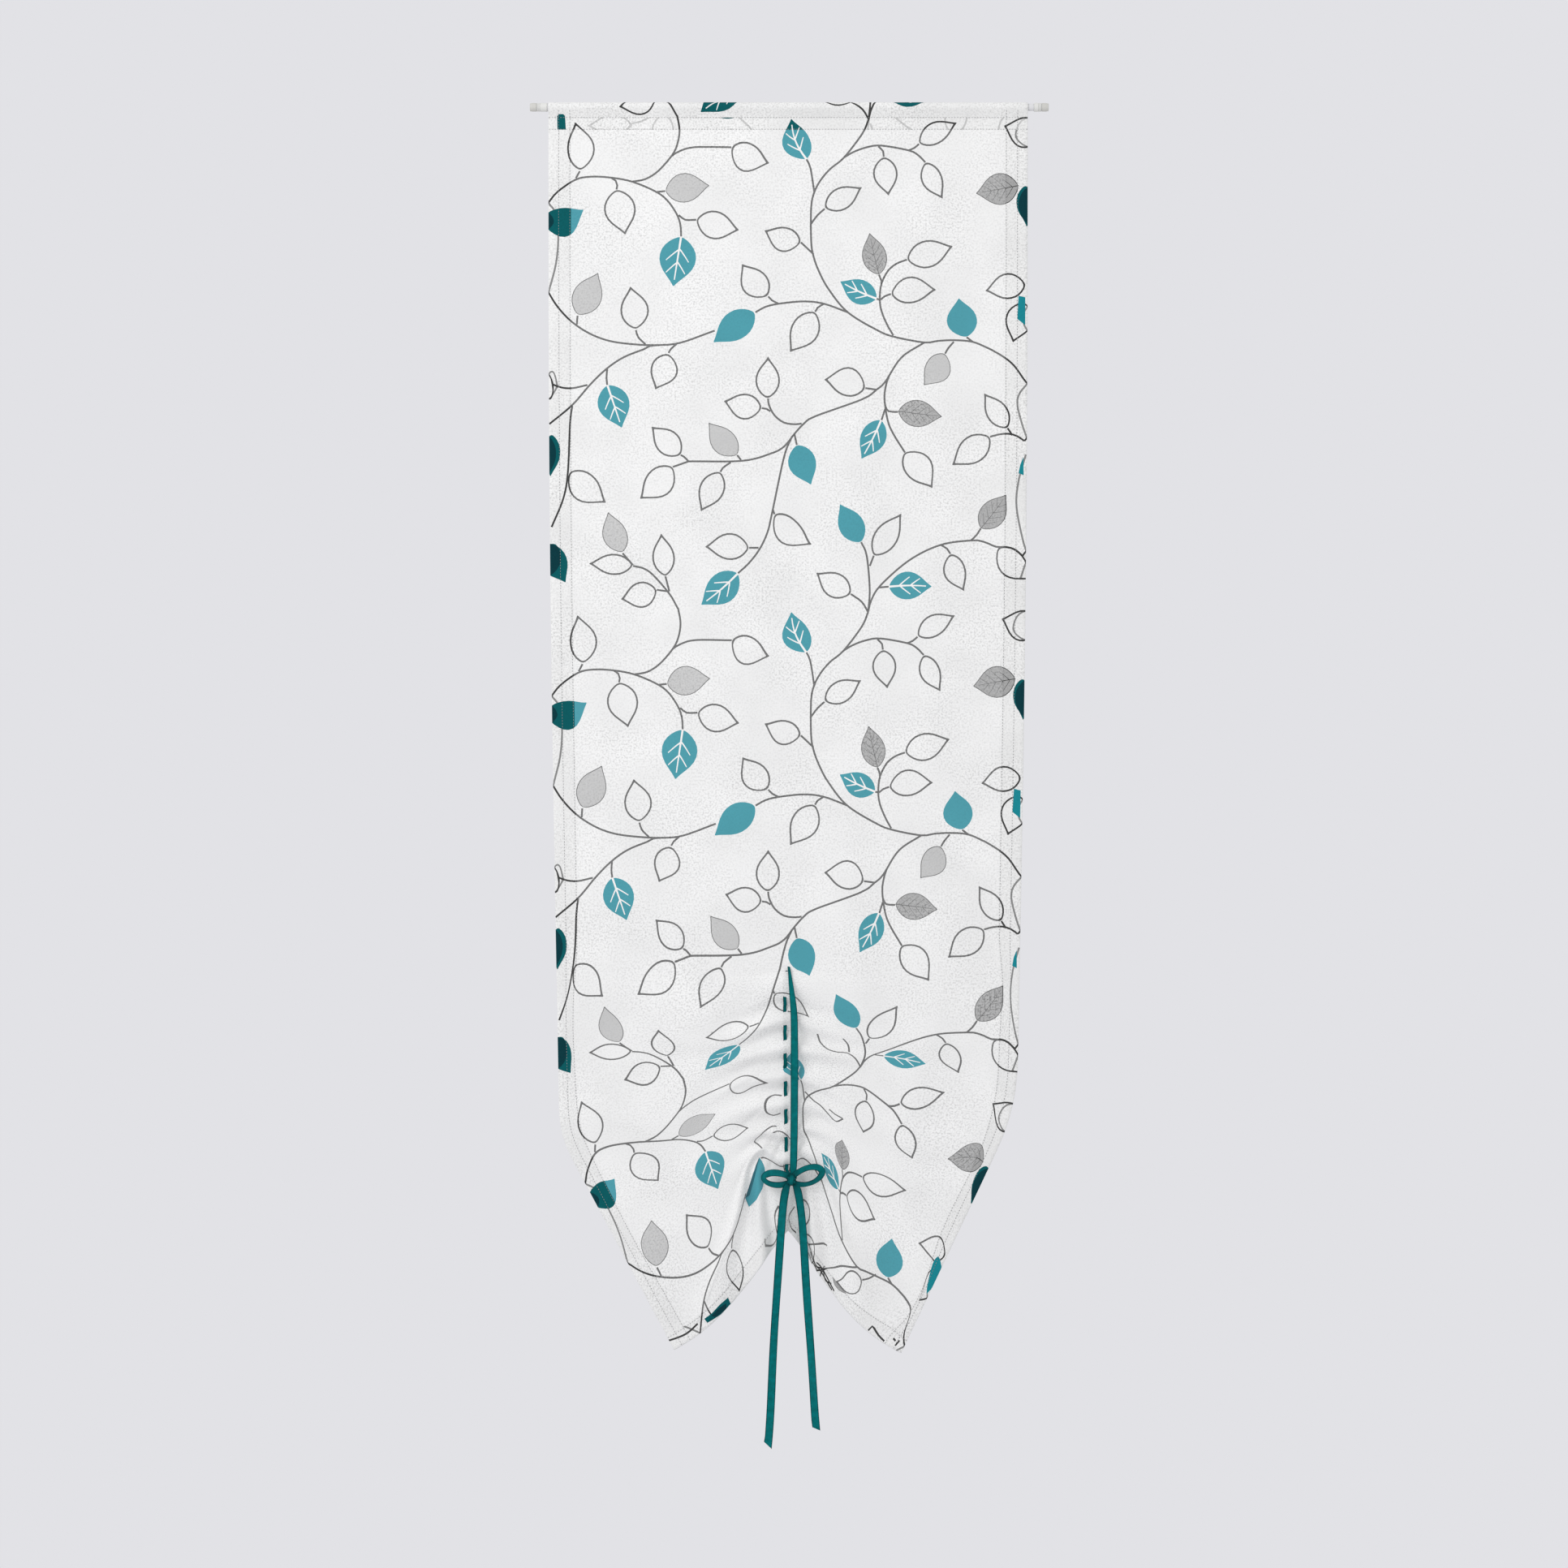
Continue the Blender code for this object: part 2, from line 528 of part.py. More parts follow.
def end_cap(name, side, start, plug_radius, material):
    """A cap with two rings at its outer end, a plug for the tube and a socket for the foot."""
    length = CAP_LENGTH[side]
    body_end = length - 2 * (CAP_RING + RING_GROOVE)
    groove = CAP_RADIUS - GROOVE_DEPTH
    socket = FOOT_STUB[0] + FIT_GAP
    profile = [(-PLUG_LENGTH, 0), (-PLUG_LENGTH, plug_radius - EDGE_ROUND)]
    profile += [(-PLUG_LENGTH + EDGE_ROUND, plug_radius), (0, plug_radius)]
    profile += [(0, CAP_RADIUS - EDGE_ROUND), (EDGE_ROUND, CAP_RADIUS), (body_end, CAP_RADIUS)]
    for k in range(2):
        ring = body_end + k * (CAP_RING + RING_GROOVE)
        profile += [(ring, groove), (ring + RING_GROOVE, groove)]
        profile += [(ring + RING_GROOVE, CAP_RADIUS)]
        if k == 0:
            profile += [(ring + RING_GROOVE + CAP_RING, CAP_RADIUS)]
    profile += [(length - EDGE_ROUND, CAP_RADIUS), (length, CAP_RADIUS - EDGE_ROUND)]
    profile += [(length, socket), (length - FOOT_STUB[1] - FIT_GAP, socket)]
    profile += [(length - FOOT_STUB[1] - FIT_GAP, 0)]
    return turned(name, profile, start, side, material)


def foot(name, side, start, material):
    stub_radius, stub_length = FOOT_STUB
    profile = [(-stub_length, 0), (-stub_length, stub_radius), (0, stub_radius)]
    profile += [(0, FOOT_RADIUS - EDGE_ROUND), (EDGE_ROUND, FOOT_RADIUS)]
    profile += [(0.6 * FOOT_LENGTH, FOOT_RADIUS), (FOOT_LENGTH - EDGE_ROUND, 0.92 * FOOT_RADIUS)]
    profile += [(FOOT_LENGTH, 0.92 * FOOT_RADIUS - EDGE_ROUND), (FOOT_LENGTH, 0)]
    return turned(name, profile, start, side, material)


def plug(name, start, radius, flange_radius, material):
    profile = [(0, 0), (0, flange_radius), (PLUG_FLANGE, flange_radius), (PLUG_FLANGE, radius)]
    profile += [(PLUG_FLANGE + PLUG_LENGTH, radius), (PLUG_FLANGE + PLUG_LENGTH, 0)]
    return turned(name, profile, start, 1, material)


def spring(name, start, end, material):
    curve = bpy.data.curves.new(name, "CURVE")
    curve.dimensions = "3D"
    curve.bevel_depth = SPRING_WIRE / 2
    curve.bevel_resolution = 1
    curve.use_fill_caps = True
    steps = SPRING_TURNS * 12
    line = curve.splines.new("POLY")
    line.points.add(steps)
    for i, point in enumerate(line.points):
        t = math.tau * i / 12
        x = (end - start) * i / steps
        point.co = (x, SPRING_RADIUS * math.cos(t), SPRING_RADIUS * math.sin(t), 1)
    curve.materials.append(material)
    obj = bpy.data.objects.new(name, curve)
    obj.location = (start, 0, 0)
    bpy.context.collection.objects.link(obj)
    return obj


def make_rod(white_metal, white_plastic, rubber, steel):
    cap_left = -HALF_WIDTH - CLOTH_TO_CAP
    cap_right = HALF_WIDTH + INNER_TUBE_SHOWN
    outer_plug = OUTER_TUBE_RADIUS - TUBE_WALL - FIT_GAP
    inner_plug = INNER_TUBE_RADIUS - TUBE_WALL - FIT_GAP
    tube("rod_outer_tube", cap_left + FIT_GAP, OUTER_TUBE_RIGHT_END, OUTER_TUBE_RADIUS, white_metal)
    end_cap("left_end_cap", -1, cap_left, outer_plug, white_plastic)
    foot("left_foot", -1, cap_left - CAP_LENGTH[-1] - FIT_GAP, rubber)
    flange = INNER_TUBE_LEFT_END - FIT_GAP - PLUG_FLANGE
    spring_end = flange - FIT_GAP - SPRING_WIRE / 2
    spring_start = spring_end - SPRING_LENGTH
    seat_start = spring_start - SPRING_WIRE / 2 - FIT_GAP - SPRING_SEAT_LENGTH
    seat_profile = [(0, 0), (0, outer_plug), (SPRING_SEAT_LENGTH, outer_plug), (SPRING_SEAT_LENGTH, 0)]
    turned("spring_seat", seat_profile, seat_start, 1, white_plastic)
    spring("rod_spring", spring_start, spring_end, steel)
    sliding = bpy.data.objects.new("inner_rod", None)
    bpy.context.collection.objects.link(sliding)
    right_end = cap_right - FIT_GAP
    moving = [
        tube("rod_inner_tube", INNER_TUBE_LEFT_END, right_end, INNER_TUBE_RADIUS, white_metal),
        plug("inner_tube_plug", flange, inner_plug, INNER_TUBE_RADIUS, white_plastic),
        end_cap("right_end_cap", 1, cap_right, inner_plug, white_plastic),
        foot("right_foot", 1, cap_right + CAP_LENGTH[1] + FIT_GAP, rubber),
    ]
    for piece in moving:
        piece.parent = sliding


def main():
    clear_scene()
    cloth = make_material("cloth", (0.86, 0.86, 0.86), 0.85)
    ribbon = make_material("ribbon", (0.0, 0.16, 0.15), 0.5)
    white_metal = make_material("white_metal", (0.75, 0.75, 0.76), 0.35)
    white_plastic = make_material("white_plastic", (0.80, 0.80, 0.78), 0.3)
    rubber = make_material("rubber", (0.52, 0.52, 0.49), 0.6)
    steel = make_material("steel", (0.60, 0.60, 0.60), 0.3, 1.0)
    make_panel(cloth)
    make_ribbon(ribbon)
    make_rod(white_metal, white_plastic, rubber, steel)


main()
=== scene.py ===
import math

import bmesh
import bpy
import numpy as np
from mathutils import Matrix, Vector, geometry, kdtree


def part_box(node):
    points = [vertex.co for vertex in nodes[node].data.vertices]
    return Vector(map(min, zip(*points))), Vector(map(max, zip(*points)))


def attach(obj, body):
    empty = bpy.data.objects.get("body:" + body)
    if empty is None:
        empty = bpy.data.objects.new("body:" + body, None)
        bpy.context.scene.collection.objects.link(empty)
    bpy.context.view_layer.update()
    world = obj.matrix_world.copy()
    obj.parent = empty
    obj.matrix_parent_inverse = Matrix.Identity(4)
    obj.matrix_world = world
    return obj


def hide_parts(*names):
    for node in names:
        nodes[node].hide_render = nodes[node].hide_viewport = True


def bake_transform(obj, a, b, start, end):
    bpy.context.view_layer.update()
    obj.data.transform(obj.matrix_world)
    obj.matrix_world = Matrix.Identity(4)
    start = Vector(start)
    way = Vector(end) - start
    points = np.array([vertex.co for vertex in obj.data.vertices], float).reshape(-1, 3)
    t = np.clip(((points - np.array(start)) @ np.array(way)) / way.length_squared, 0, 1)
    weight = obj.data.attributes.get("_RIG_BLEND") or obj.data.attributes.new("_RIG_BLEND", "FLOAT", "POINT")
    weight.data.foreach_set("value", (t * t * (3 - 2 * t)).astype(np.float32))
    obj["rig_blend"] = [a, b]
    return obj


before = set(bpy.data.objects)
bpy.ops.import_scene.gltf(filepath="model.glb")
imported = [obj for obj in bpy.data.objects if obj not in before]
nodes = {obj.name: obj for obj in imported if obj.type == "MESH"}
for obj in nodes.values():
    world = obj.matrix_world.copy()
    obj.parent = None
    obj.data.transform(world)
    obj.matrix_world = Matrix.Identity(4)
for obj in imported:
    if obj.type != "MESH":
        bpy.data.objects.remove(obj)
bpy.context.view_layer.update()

# The curtain as it is cut, sewn and tied up. Metres; down is counted from the rod's axis.
curtain = {
    "width": 0.600,
    "drop": 1.591,
    "layerStep": 0.0006,
    "turn": 0.001,
    "sideHem": 0.028,
    "bottomHem": 0.018,
    "pocketDepth": 0.0128,
    "headingDepth": 0.0282,
    "pocketRadius": 0.00625,
    "gatheredCloth": 0.511,
    "underKnot": 0.081,
    "gatherRatio": 0.61,
    "underKnotRatio": 0.80,
    "pleatCount": 7.5,
    "pleatReach": 0.070,
    "slitHalfHeight": 0.0015,
    "slitCut": (0.0072, 0.0018),
    "threadLine": -0.004,
}
# How the flaps hang: leans in degrees, left (-1) and right (1).
hang = {
    "drift": 1.06,
    "tilt": {-1: 28.1, 1: 25.3},
    "bend": {-1: (0.345, 0.262), 1: (0.414, 0.262)},
    "rowRise": (16.8, 0.200),
    "knotRise": (27.6, 0.035),
    "middleDraw": (0.567, 0.104),
    "edgeDraw": (0.092, 0.170, 0.300),
    "foldDepth": 0.0055,
    "foldPitch": 26,
    "foldStart": 31,
    "foldPivot": 0.070,
    "foldGrow": (0.03, 0.13),
    "foldEase": (0.6, 0.2, 0.12),
    "foldSide": (0.75, 62, 18),
    "waveDepth": 0.0022,
    "waves": ((0.7, 0.245, 0.8), (0.3, 0.105, 0.0)),
    "pleatShare": 0.5,
    "markEdge": 0.035,
    "markAbove": (0.06, 0.08),
    "markRibbon": (-0.002, 0.010, 0.03),
    "markReach": 0.070,
    "markHold": 0.1,
}
# Marks of the print where the gathered cloth is pulled out of its even rows: across and down on
# the cut, then x and z as hung. Millimetres
marks = [
    (-209, 1176, -212, -1174), (-227, 1125, -231, -1125), (-252, 1190, -250, -1184),
    (-155, 1206, -150, -1186), (-160, 1152, -163, -1155), (-212, 1235, -206, -1219),
    (-110, 1242, -105, -1204), (-63, 1202, -61, -1174), (-105, 1169, -105, -1170),
    (92, 1163, 88, -1151), (65, 1115, 59, -1111), (108, 1180, 97, -1173), (143, 1127, 139, -1124),
    (101, 1251, 91, -1204), (127, 1219, 123, -1183), (182, 1219, 175, -1199),
    (205, 1178, 194, -1174), (223, 1225, 216, -1209), (243, 1146, 238, -1145),
    (275, 1103, 270, -1099), (-146, 1297, -137, -1261), (-71, 1286, -73, -1225),
    (-23, 1306, -28, -1219), (-260, 1315, -239, -1299), (-267, 1254, -261, -1244),
    (-215, 1339, -195, -1310), (-204, 1396, -159, -1348), (-134, 1398, -105, -1306),
    (-144, 1461, -86, -1357), (-256, 1364, -218, -1341), (-238, 1443, -172, -1393),
    (-264, 1496, -165, -1453), (-198, 1460, -131, -1386), (-191, 1514, -97, -1429),
    (-42, 1493, -37, -1315), (-94, 1531, -49, -1378), (-150, 1545, -73, -1430),
    (-167, 1590, -53, -1474), (172, 1305, 148, -1273), (120, 1298, 99, -1239),
    (126, 1347, 94, -1291), (194, 1351, 155, -1317), (164, 1281, 133, -1251),
    (212, 1255, 197, -1234), (235, 1344, 198, -1320), (289, 1334, 251, -1314),
    (149, 1427, 93, -1342), (207, 1410, 151, -1355), (114, 1446, 68, -1334),
    (102, 1393, 67, -1289), (111, 1476, 64, -1357), (65, 1454, 43, -1309), (129, 1470, 71, -1359),
    (186, 1465, 109, -1395), (224, 1524, 123, -1466), (214, 1475, 130, -1416),
    (155, 1529, 81, -1444), (247, 1466, 163, -1425), (282, 1531, 169, -1495),
]
# Creases as hung: x and z of both ends, then step across, ridge and softness. Millimetres
creases = [
    (-30, -1306, -54, -1368, 3.2, 0.0, 1.6),
    (-54, -1368, -75, -1423, 3.2, 0.0, 1.6),
    (-75, -1423, -113, -1527, 2.6, 0.0, 2.0),
    (42, -1334, 80, -1452, -2.0, 0.0, 3.5),
    (-12, -1196, -112, -1262, 0.0, 1.6, 4.0),
    (-10, -1150, -74, -1160, 0.0, -1.3, 3.5),
    (-10, -1232, -92, -1312, 0.0, 1.5, 3.5),
    (-10, -1270, -60, -1345, 0.0, -1.6, 3.0),
    (-8, -1296, -34, -1352, 0.0, 1.8, 2.5),
    (12, -1168, 76, -1186, 0.0, 1.3, 3.5),
    (14, -1215, 118, -1268, 0.0, -1.5, 4.0),
    (14, -1244, 86, -1302, 0.0, 1.6, 3.5),
    (16, -1282, 60, -1352, 0.0, -1.7, 3.0),
    (14, -1310, 38, -1370, 0.0, 1.7, 2.5),
]
halfWidth = curtain["width"] / 2
knotDown = curtain["drop"] - curtain["underKnot"]
gatherTop = curtain["drop"] - curtain["gatheredCloth"]
knotZ = -(gatherTop + curtain["gatherRatio"] * (knotDown - gatherTop))
pleat = (knotDown - gatherTop) / curtain["pleatCount"]
pleatDepth = pleat * math.sqrt(2 * (1 - curtain["gatherRatio"] ** 2)) / math.tau
cutWidth = curtain["width"] + 2 * (curtain["turn"] + curtain["sideHem"])
wrapAngle = math.pi - math.acos(curtain["pocketRadius"] / curtain["pocketDepth"])
pocketStraight = math.sqrt(curtain["pocketDepth"] ** 2 - curtain["pocketRadius"] ** 2)
pocketLength = 2 * (pocketStraight + wrapAngle * curtain["pocketRadius"])
cutTop = 2 * curtain["pocketDepth"] - pocketLength - curtain["headingDepth"]
cutBottom = curtain["drop"] + curtain["turn"] + curtain["bottomHem"]


def smooth(t):
    t = np.clip(t, 0.0, 1.0)
    return t * t * (3 - 2 * t)


def edgeLine(side, down):  # outward place, height and lean of a side edge
    steps = np.linspace(0.0, curtain["drop"] + curtain["sideHem"], 400)
    bendStart, bendEnd = (curtain["drop"] - rise for rise in hang["bend"][side])
    drift, tilt = math.radians(hang["drift"]), math.radians(hang["tilt"][side])
    lean = drift * smooth(steps / gatherTop)
    lean += (tilt - drift) * smooth((steps - bendStart) / (bendEnd - bendStart))
    middle = (lean[1:] + lean[:-1]) / 2
    inward = np.concatenate([[0], np.cumsum(np.sin(middle) * np.diff(steps))])
    fall = np.concatenate([[0], np.cumsum(np.cos(middle) * np.diff(steps))])
    return (
        halfWidth - np.interp(down, steps, inward),
        -np.interp(down, steps, fall),
        np.interp(down, steps, lean),
    )


def centreHeight(down):
    aboveKnot = np.clip(down, gatherTop, knotDown) - gatherTop
    underKnot = np.clip(down - knotDown, 0, None)
    plain = np.minimum(down, gatherTop)
    return -(plain + curtain["gatherRatio"] * aboveKnot + curtain["underKnotRatio"] * underKnot)


def rowPlace(across, down):  # each row of the cloth is one curve from side edge to middle
    side = np.where(across < 0, -1, 1)
    reach = np.abs(across)
    edgeX, edgeZ, lean = (
        np.where(side < 0, a, b) for a, b in zip(edgeLine(-1, down), edgeLine(1, down))
    )
    below = down - gatherTop
    middleDraw, middleStart = hang["middleDraw"]
    low = smooth((below - middleStart) / (curtain["gatheredCloth"] - middleStart))
    rise = math.radians(hang["rowRise"][0]) * smooth(below / hang["rowRise"][1])
    knotRise, above = hang["knotRise"]
    under = curtain["underKnot"] + above
    rise = rise + math.radians(knotRise) * smooth((down - knotDown + above) / under)
    edgeDraw, edgeStart, edgeLength = hang["edgeDraw"]
    startSpeed = halfWidth * (1 - edgeDraw * smooth((below - edgeStart) / edgeLength))
    endSpeed = halfWidth * (1 - middleDraw * low)
    t = 1 - reach / halfWidth
    start, startSlope = 2 * t**3 - 3 * t**2 + 1, t**3 - 2 * t**2 + t
    end, endSlope = 3 * t**2 - 2 * t**3, t**3 - t**2
    x = start * edgeX - startSlope * startSpeed * np.cos(lean)
    x = x - endSlope * endSpeed * np.cos(rise)
    z = start * edgeZ + startSlope * startSpeed * np.sin(lean)
    z = z + end * centreHeight(down) + endSlope * endSpeed * np.sin(rise)
    return side * x, z


def markShare(across, down):  # nothing shifts at the folded edges, the ribbon and above the gather
    edge, (above, grown) = hang["markEdge"], hang["markAbove"]
    middle, clear, free = hang["markRibbon"]
    share = smooth((halfWidth - np.abs(across)) / edge) * smooth((curtain["drop"] - down) / edge)
    share = share * smooth((down - gatherTop + above) / grown)
    return share * smooth((np.abs(across - middle) - clear) / free)


def markSpread(across, down):
    flat = np.stack([np.ravel(across), np.ravel(down)], axis=1)
    apart = ((flat[:, None] - np.array(marks)[None, :, :2] / 1000) ** 2).sum(axis=2)
    return np.exp(-apart / hang["markReach"] ** 2) * markShare(flat[:, 0], flat[:, 1])[:, None]


def markPulls():  # how much each mark pulls the cloth round it
    across, down, x, z = np.array(marks, float).T / 1000
    rowX, rowZ = rowPlace(across, down)
    spread = markSpread(across, down)
    held = spread.T @ spread + hang["markHold"] * np.eye(len(marks))
    return np.linalg.solve(held, spread.T @ np.stack([x - rowX, z - rowZ], axis=1))


pulls = markPulls()


def hungPlace(across, down):
    across, down = np.broadcast_arrays(across, down)
    x, z = rowPlace(across, down)
    pull = (markSpread(across, down) @ pulls).reshape(*across.shape, 2)
    return x + pull[..., 0], z + pull[..., 1]


def creasePlace(x, z, crease):  # distance along a crease as a share, and to its right side
    startX, startZ, endX, endZ = (v / 1000 for v in crease[:4])
    length = math.hypot(endX - startX, endZ - startZ)
    alongX, alongZ = (endX - startX) / length, (endZ - startZ) / length
    along = ((x - startX) * alongX + (z - startZ) * alongZ) / length
    return along, (x - startX) * -alongZ + (z - startZ) * alongX


def creaseDepth(x, z):
    depth = np.zeros(np.shape(x))
    for crease in creases:
        step, ridge, soft = (v / 1000 for v in crease[4:])
        along, off = creasePlace(x, z, crease)
        taper = smooth((along + 0.08) / 0.16) * smooth((1.08 - along) / 0.16)
        if ridge:
            taper = smooth(along / 0.15) * smooth((1 - along) / 0.75)
        fade = np.exp(-((off / 0.045) ** 2))
        depth = depth + taper * (step / 2 * np.tanh(off / soft) * fade)
        depth = depth + taper * ridge * np.exp(-((off / soft) ** 2))
    return depth


def foldDepth(across, down):  # waves, pleats and the flaps' folds, as depth behind the rod's axis
    reach = np.abs(across)
    waves = sum(s * np.sin(math.tau * across / size + turn) for s, size, turn in hang["waves"])
    held = smooth((down - gatherTop + 0.1) / 0.1) * np.exp(-((reach / 0.08) ** 2))
    waves = hang["waveDepth"] * waves * smooth(down / 0.35) * (1 - held)
    turns = (down - gatherTop) / pleat
    pleats = np.where(turns < 1, -np.sin(math.pi * turns), np.sin(math.tau * turns)) * pleatDepth
    pleats = pleats * smooth(turns / 0.3)
    pleats = pleats * (1 - smooth((down - knotDown + 0.35 * pleat) / (0.45 * pleat)))
    pleats = hang["pleatShare"] * pleats * np.exp(-((reach / curtain["pleatReach"]) ** 2))
    pivotDown = knotDown - hang["foldPivot"]
    radius = np.hypot(reach, down - pivotDown)
    angle = np.arctan2(down - pivotDown, reach)
    first, pitch = math.radians(hang["foldStart"]), math.radians(hang["foldPitch"])
    flap = -hang["foldDepth"] * np.cos(math.tau * (angle - first) / pitch)
    start, reached = hang["foldGrow"]
    ease, easeStart, eased = hang["foldEase"]
    flap = flap * smooth((radius - start) / reached)
    flap = flap * (1 - ease * smooth((radius - easeStart) / eased))
    flap = flap * smooth((angle - first + 0.4 * pitch) / (0.4 * pitch))
    calm, calmStart, calmed = hang["foldSide"]
    late = (angle - math.radians(calmStart)) / math.radians(calmed)
    flap = flap * (1 - calm * smooth(late))
    return waves + pleats + flap


def hungPoint(across, down):
    x, z = hungPlace(across, down)
    return np.stack([x, foldDepth(across, down) + creaseDepth(x, z), z], axis=-1)


def hungLayer(across, down, behind):  # a point a little behind the cloth's face
    step = 0.0004
    along = hungPoint(across + step, down) - hungPoint(across - step, down)
    fall = hungPoint(across, down + step) - hungPoint(across, down - step)
    normal = np.cross(along, fall)
    normal /= np.linalg.norm(normal, axis=-1, keepdims=True)
    normal += np.array([0.0, 2.0, 0.0])
    normal /= np.linalg.norm(normal, axis=-1, keepdims=True)
    return hungPoint(across, down) + normal * behind[..., None]


def foldBack(flat, height, edge, layers):  # a hem: flat cloth turned behind itself at an edge
    middle = layers * curtain["layerStep"] / 2
    radius = middle - height
    turn = np.clip((flat - edge) / curtain["turn"], 0, 1) * math.pi
    past = np.clip(flat - edge - curtain["turn"], 0, None)
    return np.minimum(flat, edge) - past + radius * np.sin(turn), middle - radius * np.cos(turn)


def pocketLine(length):  # the top hem's way from the front stitches over the rod and down
    radius, layer = curtain["pocketRadius"], curtain["layerStep"]
    tilt = wrapAngle - math.pi / 2
    turn = np.clip((length - pocketStraight) / radius, 0, 2 * wrapAngle) - wrapAngle
    rising = np.clip(pocketStraight - length, 0, None)
    falling = np.clip(length - pocketLength + pocketStraight, 0, None)
    y = radius * np.sin(turn) + (rising - falling) * np.sin(tilt)
    y = y + 3 * layer * smooth(falling / pocketStraight)
    z = radius * np.cos(turn) - (rising + falling) * np.cos(tilt)
    return y, z, np.stack([0 * turn, np.sin(turn), np.cos(turn)], axis=-1)


def clothPoint(across, down, height):  # where a point of the flat cut ends up, sewn and hung
    across, down = np.asarray(across, float), np.asarray(down, float)
    height = np.broadcast_to(np.asarray(height, float), across.shape)
    side = np.where(across < 0, -1, 1)
    reach, height = foldBack(np.abs(across), height, halfWidth, 1)
    across = side * reach
    low, lowHeight = foldBack(down, height, curtain["drop"], 3)
    hung = hungLayer(across, np.maximum(low, curtain["pocketDepth"]), lowHeight)
    y, z, out = pocketLine(curtain["pocketDepth"] - down)
    over = np.stack([across, y, z], axis=-1) - out * height[..., None]
    backDown = 2 * curtain["pocketDepth"] - down - pocketLength
    back = np.stack([across, 3 * curtain["layerStep"] - height, -backDown], axis=-1)
    result = np.where((down < curtain["pocketDepth"])[..., None], over, hung)
    return np.where((backDown > curtain["pocketDepth"])[..., None], back, result)


